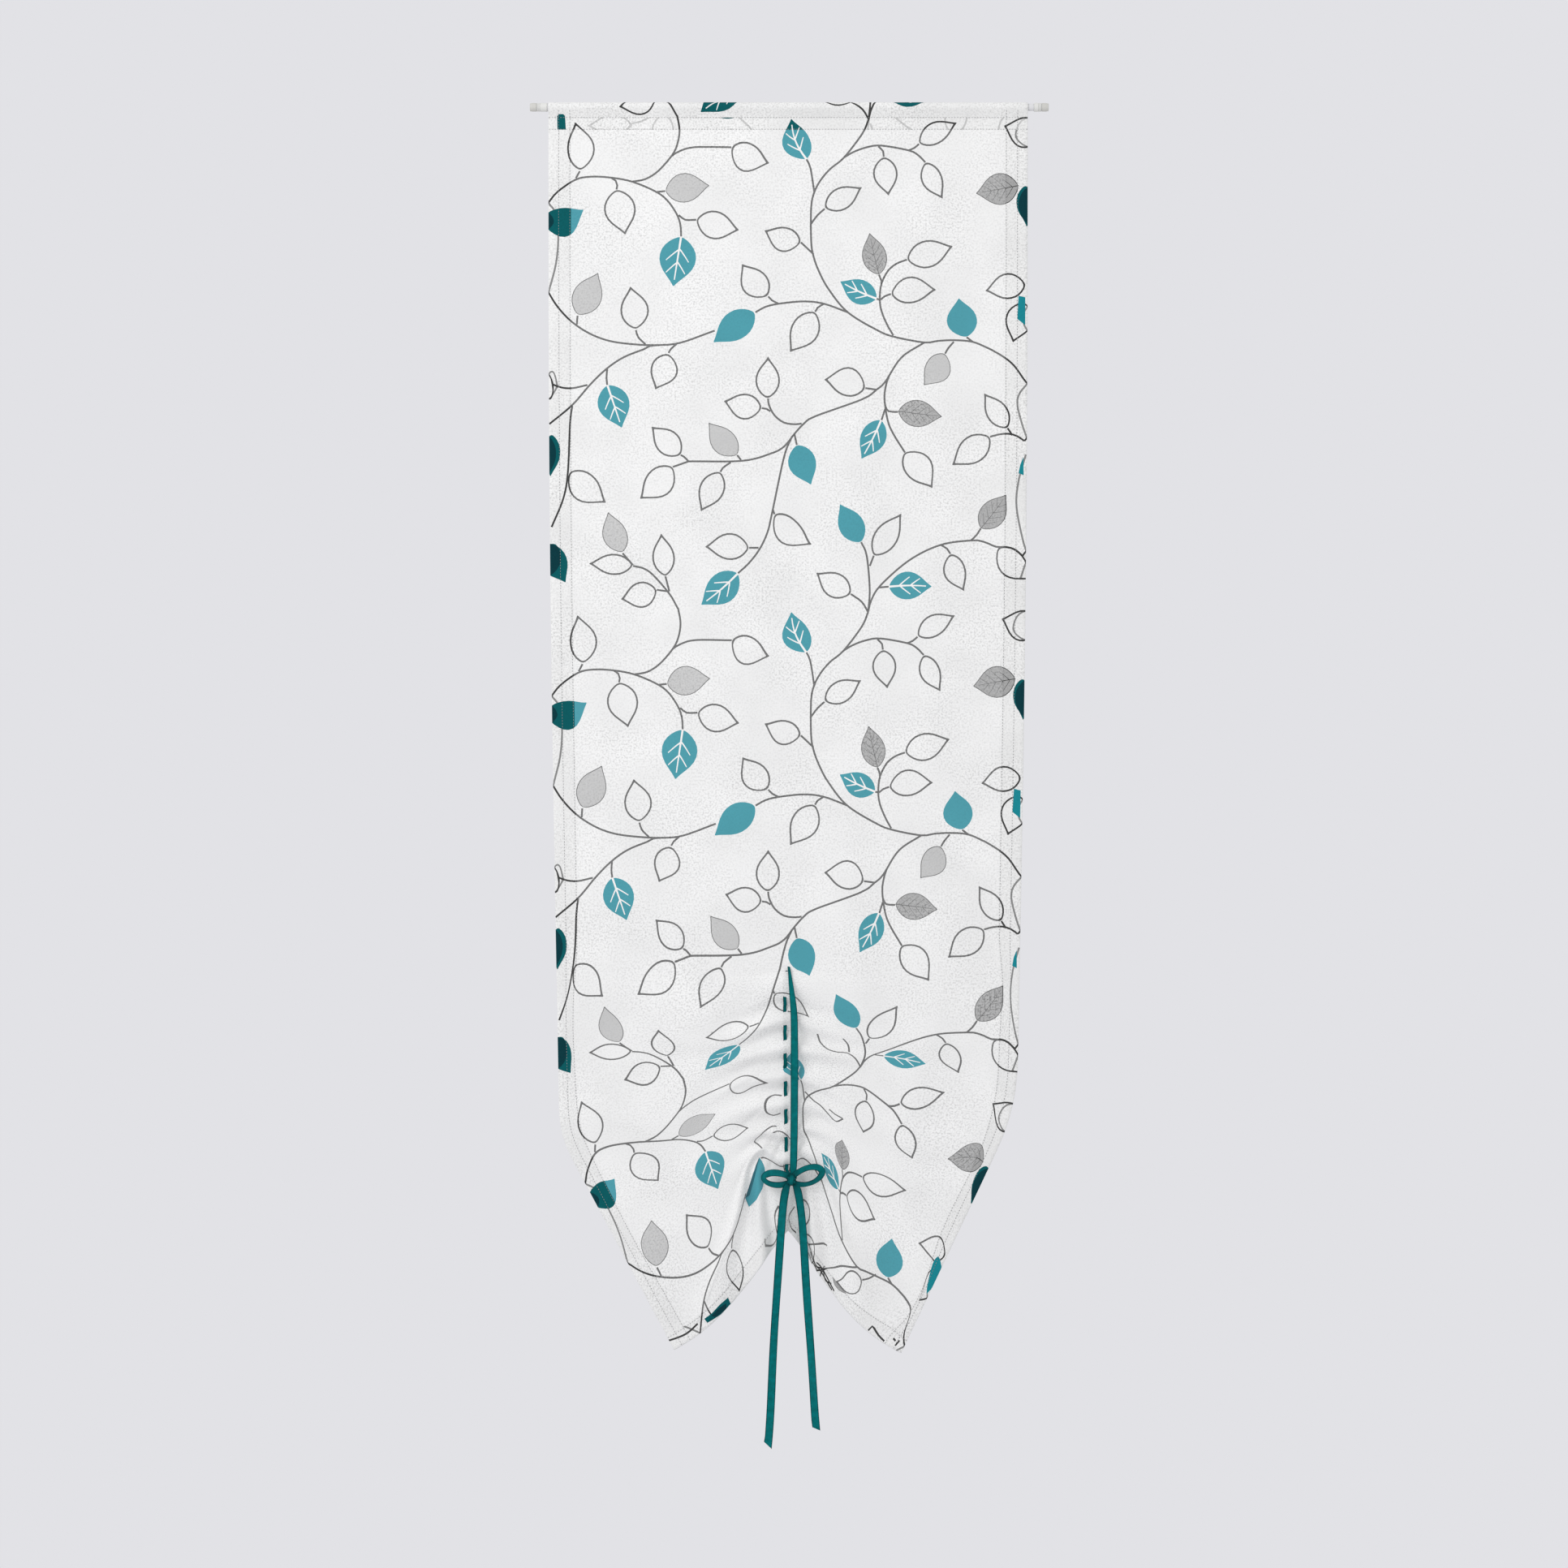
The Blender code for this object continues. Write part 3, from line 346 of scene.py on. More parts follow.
# The printed vine, one repeat, in millimetres on the flat cut: right of the middle, below the rod
printed = {
    "repeat": 618,
    "stemWidth": 2.4,
    "outlineWidth": 2.25,
    "veinWidth": 2.3,
    "fineVeinWidth": 0.9,
    "veins": ((0.24, 0.24, 0.62), (0.50, 0.22, 0.52)),
    "fineVeins": ((0.13, 0.20, 0.62), (0.29, 0.22, 0.74), (0.46, 0.20, 0.66), (0.62, 0.17, 0.40)),
}
stems = [
    [
        (-300, 119), (-289, 106), (-267, 91), (-248, 87), (-223, 88), (-196, 93), (-167, 105),
        (-152, 116), (-140, 133), (-135, 147), (-134, 162),
    ],
    [(-195, 93), (-179, 90), (-163, 80), (-146, 61), (-139, 47), (-136, 29), (-139, 10)],
    [(-146, 61), (-136, 55), (-117, 50), (-71, 50)],
    [(-222, 88), (-216, 92), (-214, 98), (-215, 103)],
    [(-266, 89), (-261, 80)],
    [(-164, 106), (-154, 105)],
    [(-137, 135), (-129, 141), (-115, 141)],
    [
        (-301, 231), (-289, 250), (-271, 269), (-248, 284), (-223, 293), (-192, 297), (-161, 298),
        (-134, 295), (-92, 280),
    ],
    [(-191, 279), (-188, 288), (-179, 297)],
    [(-264, 261), (-265, 272)],
    [(-41, 257), (-28, 250), (-11, 246), (20, 243), (45, 246), (75, 257)],
    [(-25, 237), (-20, 242), (-12, 246)],
    [
        (-162, 298), (-173, 299), (-181, 303), (-206, 313), (-227, 327), (-248, 347), (-271, 373),
        (-300, 397),
    ],
    [(-227, 327), (-228, 339), (-227, 348)],
    [(-150, 308), (-147, 303), (-140, 297)],
    [(-296, 347), (-285, 351), (-271, 352), (-252, 348)],
    [(-271, 374), (-274, 396), (-277, 456), (-283, 490), (-298, 526)],
    [(-25, 365), (-24, 373), (-17, 386), (-5, 395), (9, 397), (17, 396)],
    [(-33, 377), (-27, 378), (-22, 381)],
    [
        (171, 295), (142, 314), (122, 344), (111, 354), (93, 366), (34, 387), (20, 396), (8, 409),
        (-5, 425), (-22, 434), (-57, 443), (-125, 444),
    ],
    [(-125, 444), (-131, 438), (-135, 436)],
    [(-125, 444), (-145, 451)],
    [(-72, 445), (-82, 452), (-85, 457)],
    [(-64, 436), (-59, 442)],
    [(5, 412), (-5, 438), (-20, 508), (-26, 533), (-36, 554), (-49, 571), (-63, 584)],
    [(8, 409), (11, 423)],
    [(-19, 504), (-17, 510)],
    [(-49, 552), (-37, 552)],
    [(-209, 559), (-196, 574)],
    [(-196, 575), (-183, 578), (-171, 586), (-150, 610), (-139, 629)],
    [(-155, 588), (-150, 607)],
    [(-166, 605), (-152, 607)],
    [(97, 352), (111, 354)],
    [(197, 309), (201, 302), (208, 294)],
    [(122, 374), (126, 381), (138, 382)],
    [(122, 378), (117, 393)],
    [(127, 336), (123, 348), (121, 365), (125, 392), (132, 409), (147, 433)],
    [(254, 413), (265, 410), (277, 409), (288, 412), (297, 418)],
    [(276, 402), (282, 411)],
    [(92, 545), (99, 562), (103, 604), (101, 633)],
    [(108, 562), (103, 575)],
    [(79, 610), (93, 620), (101, 633)],
    [
        (101, 633), (105, 618), (117, 599), (153, 568), (192, 549), (232, 543), (248, 545),
        (263, 551), (275, 551), (286, 554), (296, 562),
    ],
    [(115, 602), (127, 601)],
    [(193, 549), (201, 554), (205, 560)],
    [(243, 528), (238, 536), (231, 543)],
    [
        (254, 303), (271, 313), (284, 324), (297, 342), (310, 358), (313, 371), (309, 390),
        (302, 411), (297, 418),
    ],
    [(46, 127), (37, 135), (28, 147)],
    [(23, 65), (28, 76), (33, 107)],
    [
        (101, 15), (93, 33), (70, 63), (53, 77), (41, 91), (33, 106), (29, 125), (29, 168),
        (32, 187), (39, 206), (51, 228), (75, 257), (113, 280), (134, 288), (171, 295), (188, 293),
        (209, 292), (232, 294), (254, 303),
    ],
    [(70, 63), (82, 56), (99, 50), (117, 48), (151, 54), (163, 60), (172, 69)],
    [(113, 49), (119, 55), (120, 62)],
    [(164, 46), (158, 51), (151, 54)],
    [
        (132, 286), (124, 272), (117, 255), (115, 241), (116, 226), (119, 216), (126, 204),
        (136, 196), (149, 191),
    ],
    [(114, 210), (117, 218), (117, 224)],
    [(116, 241), (121, 237), (129, 234)],
    [(115, 241), (111, 240)],
    [(224, 288), (232, 294)],
    [(16, 169), (32, 184)],
    [(34, 256), (37, 251), (45, 246)],
    [(-300, 119), (-311, 135), (-313, 164), (-310, 196), (-301, 231)],
    [(302, 435), (311, 469), (313, 502), (303, 549), (296, 562)],
]
leaves = [
    ('line', -260, 79, -267, 18, 35, 0.06),
    ('veins', 23, 65, 4, 14, 35, -0.09),
    ('line', -71, 50, -23, 70, 37, 0.086),
    ('grey', -154, 105, -98, 98, 37, -0.02),
    ('line', -115, 141, -61, 154, 36, 0.02),
    ('line', -215, 103, -204, 160, 40, 0.01),
    ('veins', -134, 162, -144, 225, 46, 0),
    ('teal', -308, 145, -256, 128, 37, 0.136),
    ('grey', -264, 260, -238, 207, 37, 0.015),
    ('line', -191, 278, -198, 224, 36, 0.03),
    ('line', 16, 169, -30, 154, 32, -0.07),
    ('line', -26, 237, -58, 196, 35, -0.045),
    ('teal', -42, 257, -94, 295, 36, 0.01),
    ('line', 34, 256, 2, 307, 36, -0.025),
    ('veins', -227, 348, -209, 402, 40, 0),
    ('line', -150, 309, -167, 354, 35, -0.045),
    ('line', -275, 457, -229, 496, 37, 0.05),
    ('line', -135, 436, -172, 400, 32, 0),
    ('line', -145, 451, -187, 491, 37, -0.04),
    ('grey', -64, 436, -100, 395, 32, -0.03),
    ('line', -85, 457, -110, 507, 32, 0),
    ('line', -26, 365, -25, 312, 31, 0),
    ('line', -33, 377, -81, 368, 33, -0.045),
    ('teal', 11, 423, 29, 473, 35, 0.025),
    ('veins', -63, 584, -110, 624, 38, -0.025),
    ('line', -17, 510, 30, 548, 34, 0.1),
    ('line', -49, 552, -105, 551, 34, 0.02),
    ('grey', -209, 558, -227, 507, 31, -0.035),
    ('line', -196, 574, -252, 572, 27, 0),
    ('line', -155, 588, -160, 534, 29, 0),
    ('line', -166, 605, -212, 617, 33, -0.025),
    ('line', 97, 352, 45, 341, 37, 0.065),
    ('grey', 197, 309, 170, 349, 33, -0.07),
    ('dark', 138, 381, 194, 388, 34, 0),
    ('veins', 117, 392, 92, 441, 32, -0.02),
    ('line', 146, 433, 182, 478, 36, -0.05),
    ('line', 276, 402, 246, 358, 28, 0),
    ('line', 254, 413, 206, 449, 35, 0),
    ('teal', 92, 545, 65, 497, 32, -0.01),
    ('line', 108, 562, 143, 509, 31, 0),
    ('line', 79, 610, 35, 583, 32, -0.02),
    ('veins', 127, 601, 182, 601, 35, -0.025),
    ('line', 205, 560, 223, 607, 29, 0.055),
    ('dark', 243, 528, 275, 485, 33, 0.02),
    ('line', 265, 552, 310, 592, 35, 0.06),
    ('line', 46, 126, 93, 100, 29, 0),
    ('line', 120, 62, 126, 111, 31, 0.015),
    ('line', 172, 69, 194, 115, 27, 0.035),
    ('line', 164, 45, 212, 19, 28, -0.03),
    ('dark', 289, 98, 235, 108, 40, 0),
    ('line', 149, 191, 207, 174, 35, 0.01),
    ('dark', 114, 210, 102, 157, 31, -0.01),
    ('veins', 111, 240, 65, 218, 31, -0.025),
    ('line', 129, 234, 186, 229, 34, -0.05),
    ('teal', 224, 288, 214, 239, 38, -0.035),
    ('line', 298, 222, 247, 230, 33, 0.03),
    ('line', 296, 244, 282, 295, 35, 0),
    ('line', 317, 38, 270, 23, 40, 0),
    ('teal', -297, 410, -299, 463, 23, 0.0),
    ('teal', -308, 547, -281, 596, 34, 0.0),
    ('line', -294, 347, -313, 350, 37, 0.0),
    ('teal', 304, 98, 299, 150, 26, 0.0),
]
hemShapes = [
    ("tealOver", [(289, 236), (297.5, 238), (297.5, 273), (287.5, 265)]),
    ("tealOver", [(296, 438), (296.5, 461), (290, 458.5), (292, 448)]),
]


# Stems and leaves of the lower repeats that the folds cut, by their first point
foldedAway = {
    -1: {(-308, 547)},
    1: {(79, 610)},
    2: {
        (46, 127), (46, 126), (16, 169), (-25, 237), (-26, 237), (34, 256), (-42, 257), (197, 309),
        (-296, 347), (-294, 347), (289, 236), (-227, 348), (276, 402),
    },
}
# What shows of them, and the marks folded up in the hems, where they are on the whole cut
cutStems = [
    [(40, 1194), (44, 1213), (54, 1226), (67, 1229), (79, 1227), (90, 1236), (101, 1254)],
    [(74, 1190), (80, 1203), (82, 1224)],
    [(33, 1324), (45, 1336), (57, 1342), (73, 1355), (84, 1360), (93, 1346)],
    [(70, 1342), (80, 1346), (93, 1346)],
    [(-10, 1336), (-19, 1332), (-26, 1338), (-30, 1352), (-30, 1367), (-23, 1374), (-13, 1371)],
    [(-20, 1397), (-26, 1397), (-34, 1405), (-44, 1419), (-56, 1431), (-49, 1448), (-39, 1467)],
    [(-26, 1412), (-20, 1407), (-11, 1410), (4, 1428)],
    [(-11, 1478), (-8, 1495), (-3, 1481), (1, 1499), (6, 1483)],
    [(39, 1534), (51, 1531), (60, 1535), (63, 1546), (56, 1560)],
    [(25, 1549), (9, 1560), (3, 1572), (14, 1582), (32, 1581)],
    [(73, 1575), (102, 1551), (109, 1549), (99, 1559), (81, 1581)],
    [(83, 1579), (89, 1583), (104, 1586), (120, 1585), (156, 1589)],
    [(104, 1582), (113, 1580), (129, 1581), (161, 1587)],
    [(108, 1587), (122, 1580), (136, 1588), (150, 1583)],
    [(187, 1541), (197, 1535), (206, 1526)],
    [(-302, 1578), (-275, 1582), (-252, 1580)],
    [(242, 1590), (244, 1583), (259, 1587), (271, 1589)],
    [(280, 1581), (285, 1582)],
    [(290, 1579), (288, 1587)],
]
cutLeaves = [
    ("line", 187, 1541, 152, 1574, 36, 0.0),
    ("tealOver", 314, 1464, 304, 1512, 26, 0.0),
]
cutShapes = [
    ("teal", [
        (-44, 1490), (-39, 1499), (-36.6, 1507), (-36.7, 1515), (-41, 1525), (-50, 1532),
        (-69, 1536), (-92, 1533), (-96, 1519), (-75, 1513), (-58, 1504),
    ]),
    # a wedge of painted shade on the teal leaf along the fold line
    ("tealFoldShade", [
        (-44, 1490), (-53, 1506), (-67, 1517), (-84, 1524), (-96, 1519), (-75, 1513), (-58, 1504),
    ]),
    ("teal", [(-289, 28), (-289.4, 11), (-287, 8.4), (-281.5, 8.2), (-279.4, 11), (-278.4, 28)]),
    ("teal", [
        (-240, 1580.5), (-226, 1581.6), (-207, 1580.8), (-189.5, 1582.5), (-190, 1591),
        (-214, 1591), (-238.5, 1587),
    ]),
    ("tealDeep", [(-229, 1583.5), (-212, 1583), (-197, 1585.5), (-200, 1591), (-222, 1589)]),
]


def smoothLine(points, spacing):  # Catmull-Rom line through points, about evenly spaced
    points = [np.array(p, float) for p in points]
    points = [2 * points[0] - points[1]] + points + [2 * points[-1] - points[-2]]
    line = []
    for before, a, b, after in zip(points, points[1:], points[2:], points[3:]):
        count = max(1, round(float(np.linalg.norm(b - a)) / spacing))
        for i in range(count):
            t = i / count
            curve = 2 * a + (b - before) * t + (2 * before - 5 * a + 4 * b - after) * t**2
            curve = curve + (3 * a - before - 3 * b + after) * t**3
            line.append(curve / 2)
    line.append(points[-2])
    return np.array(line)


def strokeShape(line, widths):  # a drawn line as a closed outline
    ahead = np.gradient(line, axis=0)
    ahead /= np.linalg.norm(ahead, axis=1, keepdims=True)
    off = np.stack([-ahead[:, 1], ahead[:, 0]], axis=1) * np.asarray(widths).reshape(-1, 1) / 2
    return np.concatenate([line + off, (line - off)[::-1]])


# Half a leaf's outline: share of its length, then of half its width
leafHalf = (
    (0, 0), (0.06, 0.36), (0.16, 0.7), (0.29, 0.93), (0.42, 1.0),
    (0.56, 0.94), (0.70, 0.72), (0.82, 0.42), (0.92, 0.16), (1, 0),
)


def leafPlace(leaf, t, off):  # off is a share of half the width, to the right of the midrib
    baseX, baseY, tipX, tipY, width, bend = leaf[1:]
    base, tip = np.array((baseX, baseY), float), np.array((tipX, tipY), float)
    along = tip - base
    length = np.linalg.norm(along)
    across = np.array((-along[1], along[0])) / length
    bow = bend * length * np.sin(math.pi * np.asarray(t, float)) + np.asarray(off) * width / 2
    return base + np.outer(np.atleast_1d(t), along) + np.outer(np.atleast_1d(bow), across)


def leafShape(leaf, inset):
    length = math.hypot(leaf[3] - leaf[1], leaf[4] - leaf[2])
    profile = smoothLine(leafHalf, 0.09)
    t = np.linspace(0, 1, 81)
    half = np.interp(t, profile[:, 0], profile[:, 1]) * leaf[5] / 2
    slope = np.gradient(half, t * length)
    half = half - inset * np.sqrt(1 + slope**2)
    if inset:
        half[(t * length < 1.2 * inset) | ((1 - t) * length < 1.6 * inset)] = -1
    inside = np.flatnonzero(half > 0.05)
    first, last = t[inside[0]], t[inside[-1]]
    steps = first + (last - first) * (1 - np.cos(np.linspace(0, math.pi, 15))) / 2
    share = np.interp(steps, t, np.clip(half, 0, None)) / (leaf[5] / 2)
    share[[0, -1]] = 0
    return np.concatenate([leafPlace(leaf, steps, share), leafPlace(leaf, steps, -share)[-2:0:-1]])


def veinShapes(leaf, width, pairs):  # each pair: start and reach along the leaf, reach out
    middle = leafPlace(leaf, np.linspace(0.0, 0.86, 9), np.zeros(9))
    shapes = [strokeShape(middle, np.linspace(1.15, 0.6, 9) * width)]
    for start, reach, out in pairs:
        for side in (-1, 1):
            t = start + reach * np.linspace(0, 1, 5) + (0.02 if side > 0 else 0)
            off = side * out * np.linspace(0, 1, 5) ** 0.9
            shapes.append(strokeShape(leafPlace(leaf, t, off), np.linspace(0.8, 0.5, 5) * width))
    return shapes


def paintedShapes(lines, around):  # stems and leaves in the order in which they are painted
    shapes = []
    for stem in lines:
        line = smoothLine(stem, 5.0)
        shapes.append((strokeShape(line, [printed["stemWidth"]] * len(line)), "line"))
    for leaf in around:
        outer, kind = leafShape(leaf, 0), leaf[0]
        inset = printed["outlineWidth"] * (1 if kind == "line" else 0.45)
        if kind in ("line", "grey", "dark"):
            shapes.append((outer, "line" if kind == "line" else "greyLine"))
            shapes.append((leafShape(leaf, inset), "plain" if kind == "line" else kind))
        else:
            shapes.append((outer, kind if kind == "tealOver" else "teal"))
        if kind == "veins":
            veins = veinShapes(leaf, printed["veinWidth"], printed["veins"])
            shapes += [(vein, "white") for vein in veins]
        if kind == "dark":
            veins = veinShapes(leaf, printed["fineVeinWidth"], printed["fineVeins"])
            shapes += [(vein, "greyLine") for vein in veins]
    return shapes


def wholePrint():  # every repeat on the cut, then what is drawn only where folds cut it
    shapes = []
    for number in range(-1, 3):
        away = foldedAway.get(number, ())
        lines = [stem for stem in stems if stem[0] not in away]
        around = [leaf for leaf in leaves if leaf[1:3] not in away]
        down = (0, number * printed["repeat"])
        painted = paintedShapes(lines, around)
        painted += [(np.array(p, float), kind) for kind, p in hemShapes if p[0] not in away]
        shapes += [(shape + down, kind) for shape, kind in painted]
    shapes += paintedShapes(cutStems, cutLeaves)
    return shapes + [(np.array(points, float), kind) for kind, points in cutShapes]


def clipped(shape, low, high):  # the part of a closed outline inside a box
    for axis, limit, sign in ((0, low[0], 1), (0, high[0], -1), (1, low[1], 1), (1, high[1], -1)):
        kept = []
        for a, b in zip(shape, np.roll(shape, -1, axis=0)):
            insideA, insideB = sign * (a[axis] - limit) >= 0, sign * (b[axis] - limit) >= 0
            if insideA:
                kept.append(a)
            if insideA != insideB:
                kept.append(a + (b - a) * (limit - a[axis]) / (b[axis] - a[axis]))
        if len(kept) < 3:
            return None
        shape = np.array(kept)
    return shape


def printShapes():  # every painted shape, with those that show through from a hem's other layer
    half, turn = halfWidth * 1000, curtain["turn"] * 1000
    edge, drop = cutWidth * 500, curtain["drop"] * 1000
    top, bottom = cutTop * 1000, cutBottom * 1000
    fold = (cutTop + curtain["headingDepth"]) * 500
    hem, low = curtain["sideHem"] * 1000, curtain["bottomHem"] * 1000
    cut = ((-edge, top), (edge, bottom))
    mirrors = []  # box of one layer, then the map to the other layer
    for side in (-1, 1):
        for start in (half - hem, half + turn):
            spans = sorted((side * start, side * (start + hem)))
            mirrors.append((((spans[0], top), (spans[1], bottom)), 0, side * (2 * half + turn)))
    for start in (drop - low, drop + turn):
        mirrors.append((((-edge, start), (edge, start + low)), 1, 2 * drop + turn))
    mirrors.append((((-edge, top), (edge, fold)), 1, 2 * fold))
    mirrors.append((((-edge, fold), (edge, 2 * fold - top)), 1, 2 * fold))
    shapes = []
    for shape, kind in wholePrint():
        own = clipped(shape, *cut)
        if own is None:
            continue
        shapes.append((own, kind, False))
        for box, axis, total in mirrors:
            part = clipped(own, *box)
            if part is not None:
                part = part.copy()
                part[:, axis] = total - part[:, axis]
                shapes.append((part[::-1], kind, True))
    return shapes


def cutLines():  # rows and columns that the cloth's triangles keep to, in millimetres
    turn, straight = curtain["turn"] * 1000, pocketStraight * 1000
    half, drop, pocket = halfWidth * 1000, curtain["drop"] * 1000, curtain["pocketDepth"] * 1000
    backStitch = pocket - pocketLength * 1000
    rows = [backStitch, *np.linspace(backStitch + straight, pocket - straight, 13), pocket]
    rows += [curtain["headingDepth"] * 1000, drop - curtain["bottomHem"] * 1000]
    rows += [drop, drop + turn / 2, drop + turn]
    columns = [half - curtain["sideHem"] * 1000, half, half + turn / 2, half + turn]
    return rows, [side * column for side in (-1, 1) for column in columns]


def slitDowns():
    crossings = [gatherTop + pleat * k / 2 for k in range(2, int(2 * curtain["pleatCount"]))]
    top = 2.5 * curtain["slitHalfHeight"]
    return [gatherTop - top, gatherTop + top] + crossings


# The cloth's own points. Spacing and least gap to the painted outlines for plain cloth, for
# drawn-up cloth and along sharp creases; the drawn-up cloth's half width and its start above the
# gather; how close to a crease, in metres, and the softness that counts as sharp
grid = {
    "steps": ((7.0, 2.4), (3.6, 1.3), (1.9, 0.8)),
    "drawnUp": (105, 20),
    "creaseSide": 0.003,
    "sharpCrease": 3,
}


def gridPoints(taken):  # an even grid of points, closer where the cloth is drawn up
    edge, top, bottom = cutWidth * 500, cutTop * 1000, cutBottom * 1000
    wide, above = grid["drawnUp"]
    gather = gatherTop * 1000 - above
    points = []
    for wanted, (step, gap) in enumerate(grid["steps"]):
        rows = np.arange(top + step, bottom - step / 2, step * 0.87)
        for number, down in enumerate(rows):
            start = -edge + step * (0.5 if number % 2 else 1)
            across = np.arange(start, edge - step / 3, step)
            fine = ((np.abs(across) < wide) & (down > gather)).astype(int)
            if down > gather:
                x, z = hungPlace(across / 1000, np.full(len(across), down / 1000))
                for crease in creases:
                    along, off = creasePlace(x, z, crease)
                    near = np.abs(off) < grid["creaseSide"] + crease[6] / 1000
                    near &= np.abs(along - 0.5) < 0.6
                    fine[near & (crease[6] < grid["sharpCrease"])] = 2
            for x in across[fine == wanted]:
                if taken.find((x, down, 0))[2] > gap:
                    points.append((x, down))
    return points


def cutCloth():  # flat points in metres, triangles and what is painted on each
    points, edges, faces = [], [], []

    def add(outline, closed):
        start = len(points)
        x, y = np.array(outline, float).T
        if closed and (x * np.roll(y, -1) - y * np.roll(x, -1)).sum() < 0:
            outline = outline[::-1]  # a clockwise outline would cover all but its inside
        points.extend((float(x), float(y)) for x, y in outline)
        numbers = list(range(start, len(points)))
        if closed:
            faces.append(numbers)
        else:
            edges.extend(zip(numbers, numbers[1:]))

    shapes = printShapes()
    for shape in shapes:
        add(shape[0], True)
    edge, top, bottom = cutWidth * 500, cutTop * 1000, cutBottom * 1000
    wide, high = (size * 500 for size in curtain["slitCut"])
    line = curtain["threadLine"] * 1000
    for down in slitDowns():
        low, up = down * 1000 - high, down * 1000 + high
        ring = [(line - wide, low), (line, low), (line + wide, low)]
        add(ring + [(line + wide, up), (line, up), (line - wide, up)], True)
        shapes.append((None, "slit", False))
    rows, columns = cutLines()
    for row in [top, *rows, bottom]:
        add([(x, row) for x in np.linspace(-edge, edge, 95)], False)
    for column in [-edge, *columns, edge]:
        add([(column, y) for y in np.linspace(top, bottom, 239)], False)
    taken = kdtree.KDTree(len(points))
    for number, (x, y) in enumerate(points):
        taken.insert((x, y, 0), number)
    taken.balance()
    points += gridPoints(taken)
    made = geometry.delaunay_2d_cdt([Vector(p) for p in points], edges, faces, 0, 0.01, True)
    flat = np.array([tuple(p) for p in made[0]]) / 1000
    return flat, made[2], made[5], shapes


def linear(colour):
    return tuple(
        (c / 255 / 12.92) if c <= 10.31 else ((c / 255 + 0.055) / 1.055) ** 2.4 for c in colour
    )


def linked(name, data):  # a new object in the scene
    obj = bpy.data.objects.new(name, data)
    bpy.context.collection.objects.link(obj)
    return obj


def newMaterial(name, colour, roughness, **sockets):
    material = bpy.data.materials.new(name)
    material.use_nodes = True
    sockets = {"Base Color": (*linear(colour), 1), "Roughness": roughness, **sockets}
    for socket, value in sockets.items():
        material.node_tree.nodes["Principled BSDF"].inputs[socket].default_value = value
    return material


def addNode(tree, kind, inputs=(), **settings):  # inputs are values, or the outputs to link
    node = tree.nodes.new(kind)
    for key, value in settings.items():
        setattr(node, key, value)
    for socket, value in dict(inputs).items():
        if isinstance(value, bpy.types.NodeSocket):
            tree.links.new(value, node.inputs[socket])
        else:
            node.inputs[socket].default_value = value
    return node


def shade(tree, socket, value):
    tree.links.new(value, tree.nodes["Principled BSDF"].inputs[socket])


def mixed(tree, factor, first, second, blend="MIX"):
    first, second = ((*v, 1) if isinstance(v, tuple) else v for v in (first, second))
    inputs = {0: factor, 6: first, 7: second}
    node = addNode(tree, "ShaderNodeMix", inputs, data_type="RGBA", blend_type=blend)
    return node.outputs[2]


def noise(tree, place, scale, detail=2):
    inputs = {"Vector": place, "Scale": scale, "Detail": detail}
    return addNode(tree, "ShaderNodeTexNoise", inputs).outputs[0]


def ranged(tree, value, low, high, toLow=0.0, toHigh=1.0):
    inputs = {"Value": value, "From Min": low, "From Max": high, "To Min": toLow, "To Max": toHigh}
    return addNode(tree, "ShaderNodeMapRange", inputs).outputs[0]


def bumped(tree, height, strength, distance):
    inputs = {"Strength": strength, "Distance": distance, "Height": height}
    shade(tree, "Normal", addNode(tree, "ShaderNodeBump", inputs).outputs[0])


# Finish of the sheer: threads per metre, speckle and cloudiness of the white
sheer = {
    "threads": 1250,
    "threadWander": 1.5,
    "threadStrength": 0.25,
    "threadDepth": 0.0002,
    "speckleScale": 420,
    "speckle": 0.24,
    "paleSpeckle": 0.35,
    "speckleRange": (0.30, 0.56),
    "patchScale": 11,
    "patchRange": (0.36, 0.62, 0.3),
    "cloudScale": 14,
    "cloudRange": (0.35, 0.65),
    "cloud": 0.03,
    "roughness": 0.8,
    "shine": 0.12,
}


def clothMaterial(name, colour, alpha, speckle):
    look = {"Alpha": alpha, "Specular IOR Level": sheer["shine"]}
    material = newMaterial(name, colour, sheer["roughness"], **look)
    tree = material.node_tree
    flat = addNode(tree, "ShaderNodeUVMap", uv_map="flatCut").outputs[0]
    base, speck = linear(colour), sheer["speckle"] * speckle
    dim = tuple(c * (1 - speck) for c in base)
    pale = tuple(min(c * (1 + sheer["paleSpeckle"] * speck), 1) for c in base)
    grain = ranged(tree, noise(tree, flat, sheer["speckleScale"]), *sheer["speckleRange"])
    patch = ranged(tree, noise(tree, flat, sheer["patchScale"]), *sheer["patchRange"])
    cloud = ranged(tree, noise(tree, flat, sheer["cloudScale"], 3), *sheer["cloudRange"])
    grained = mixed(tree, patch, base, mixed(tree, grain, dim, pale))
    tint = mixed(tree, cloud, (1 - 2 * sheer["cloud"],) * 3, (1.0, 1.0, 1.0))
    shade(tree, "Base Color", mixed(tree, 1.0, grained, tint, "MULTIPLY"))
    threads = {"Vector": flat, "Scale": sheer["threads"] / 20 * math.tau}
    threads["Distortion"] = sheer["threadWander"]
    across, down = (
        addNode(tree, "ShaderNodeTexWave", threads, bands_direction=way).outputs[1] for way in "XY"
    )
    crossed = addNode(tree, "ShaderNodeMath", {0: across, 1: down}, operation="ADD")
    bumped(tree, crossed.outputs[0], sheer["threadStrength"], sheer["threadDepth"])
    return material


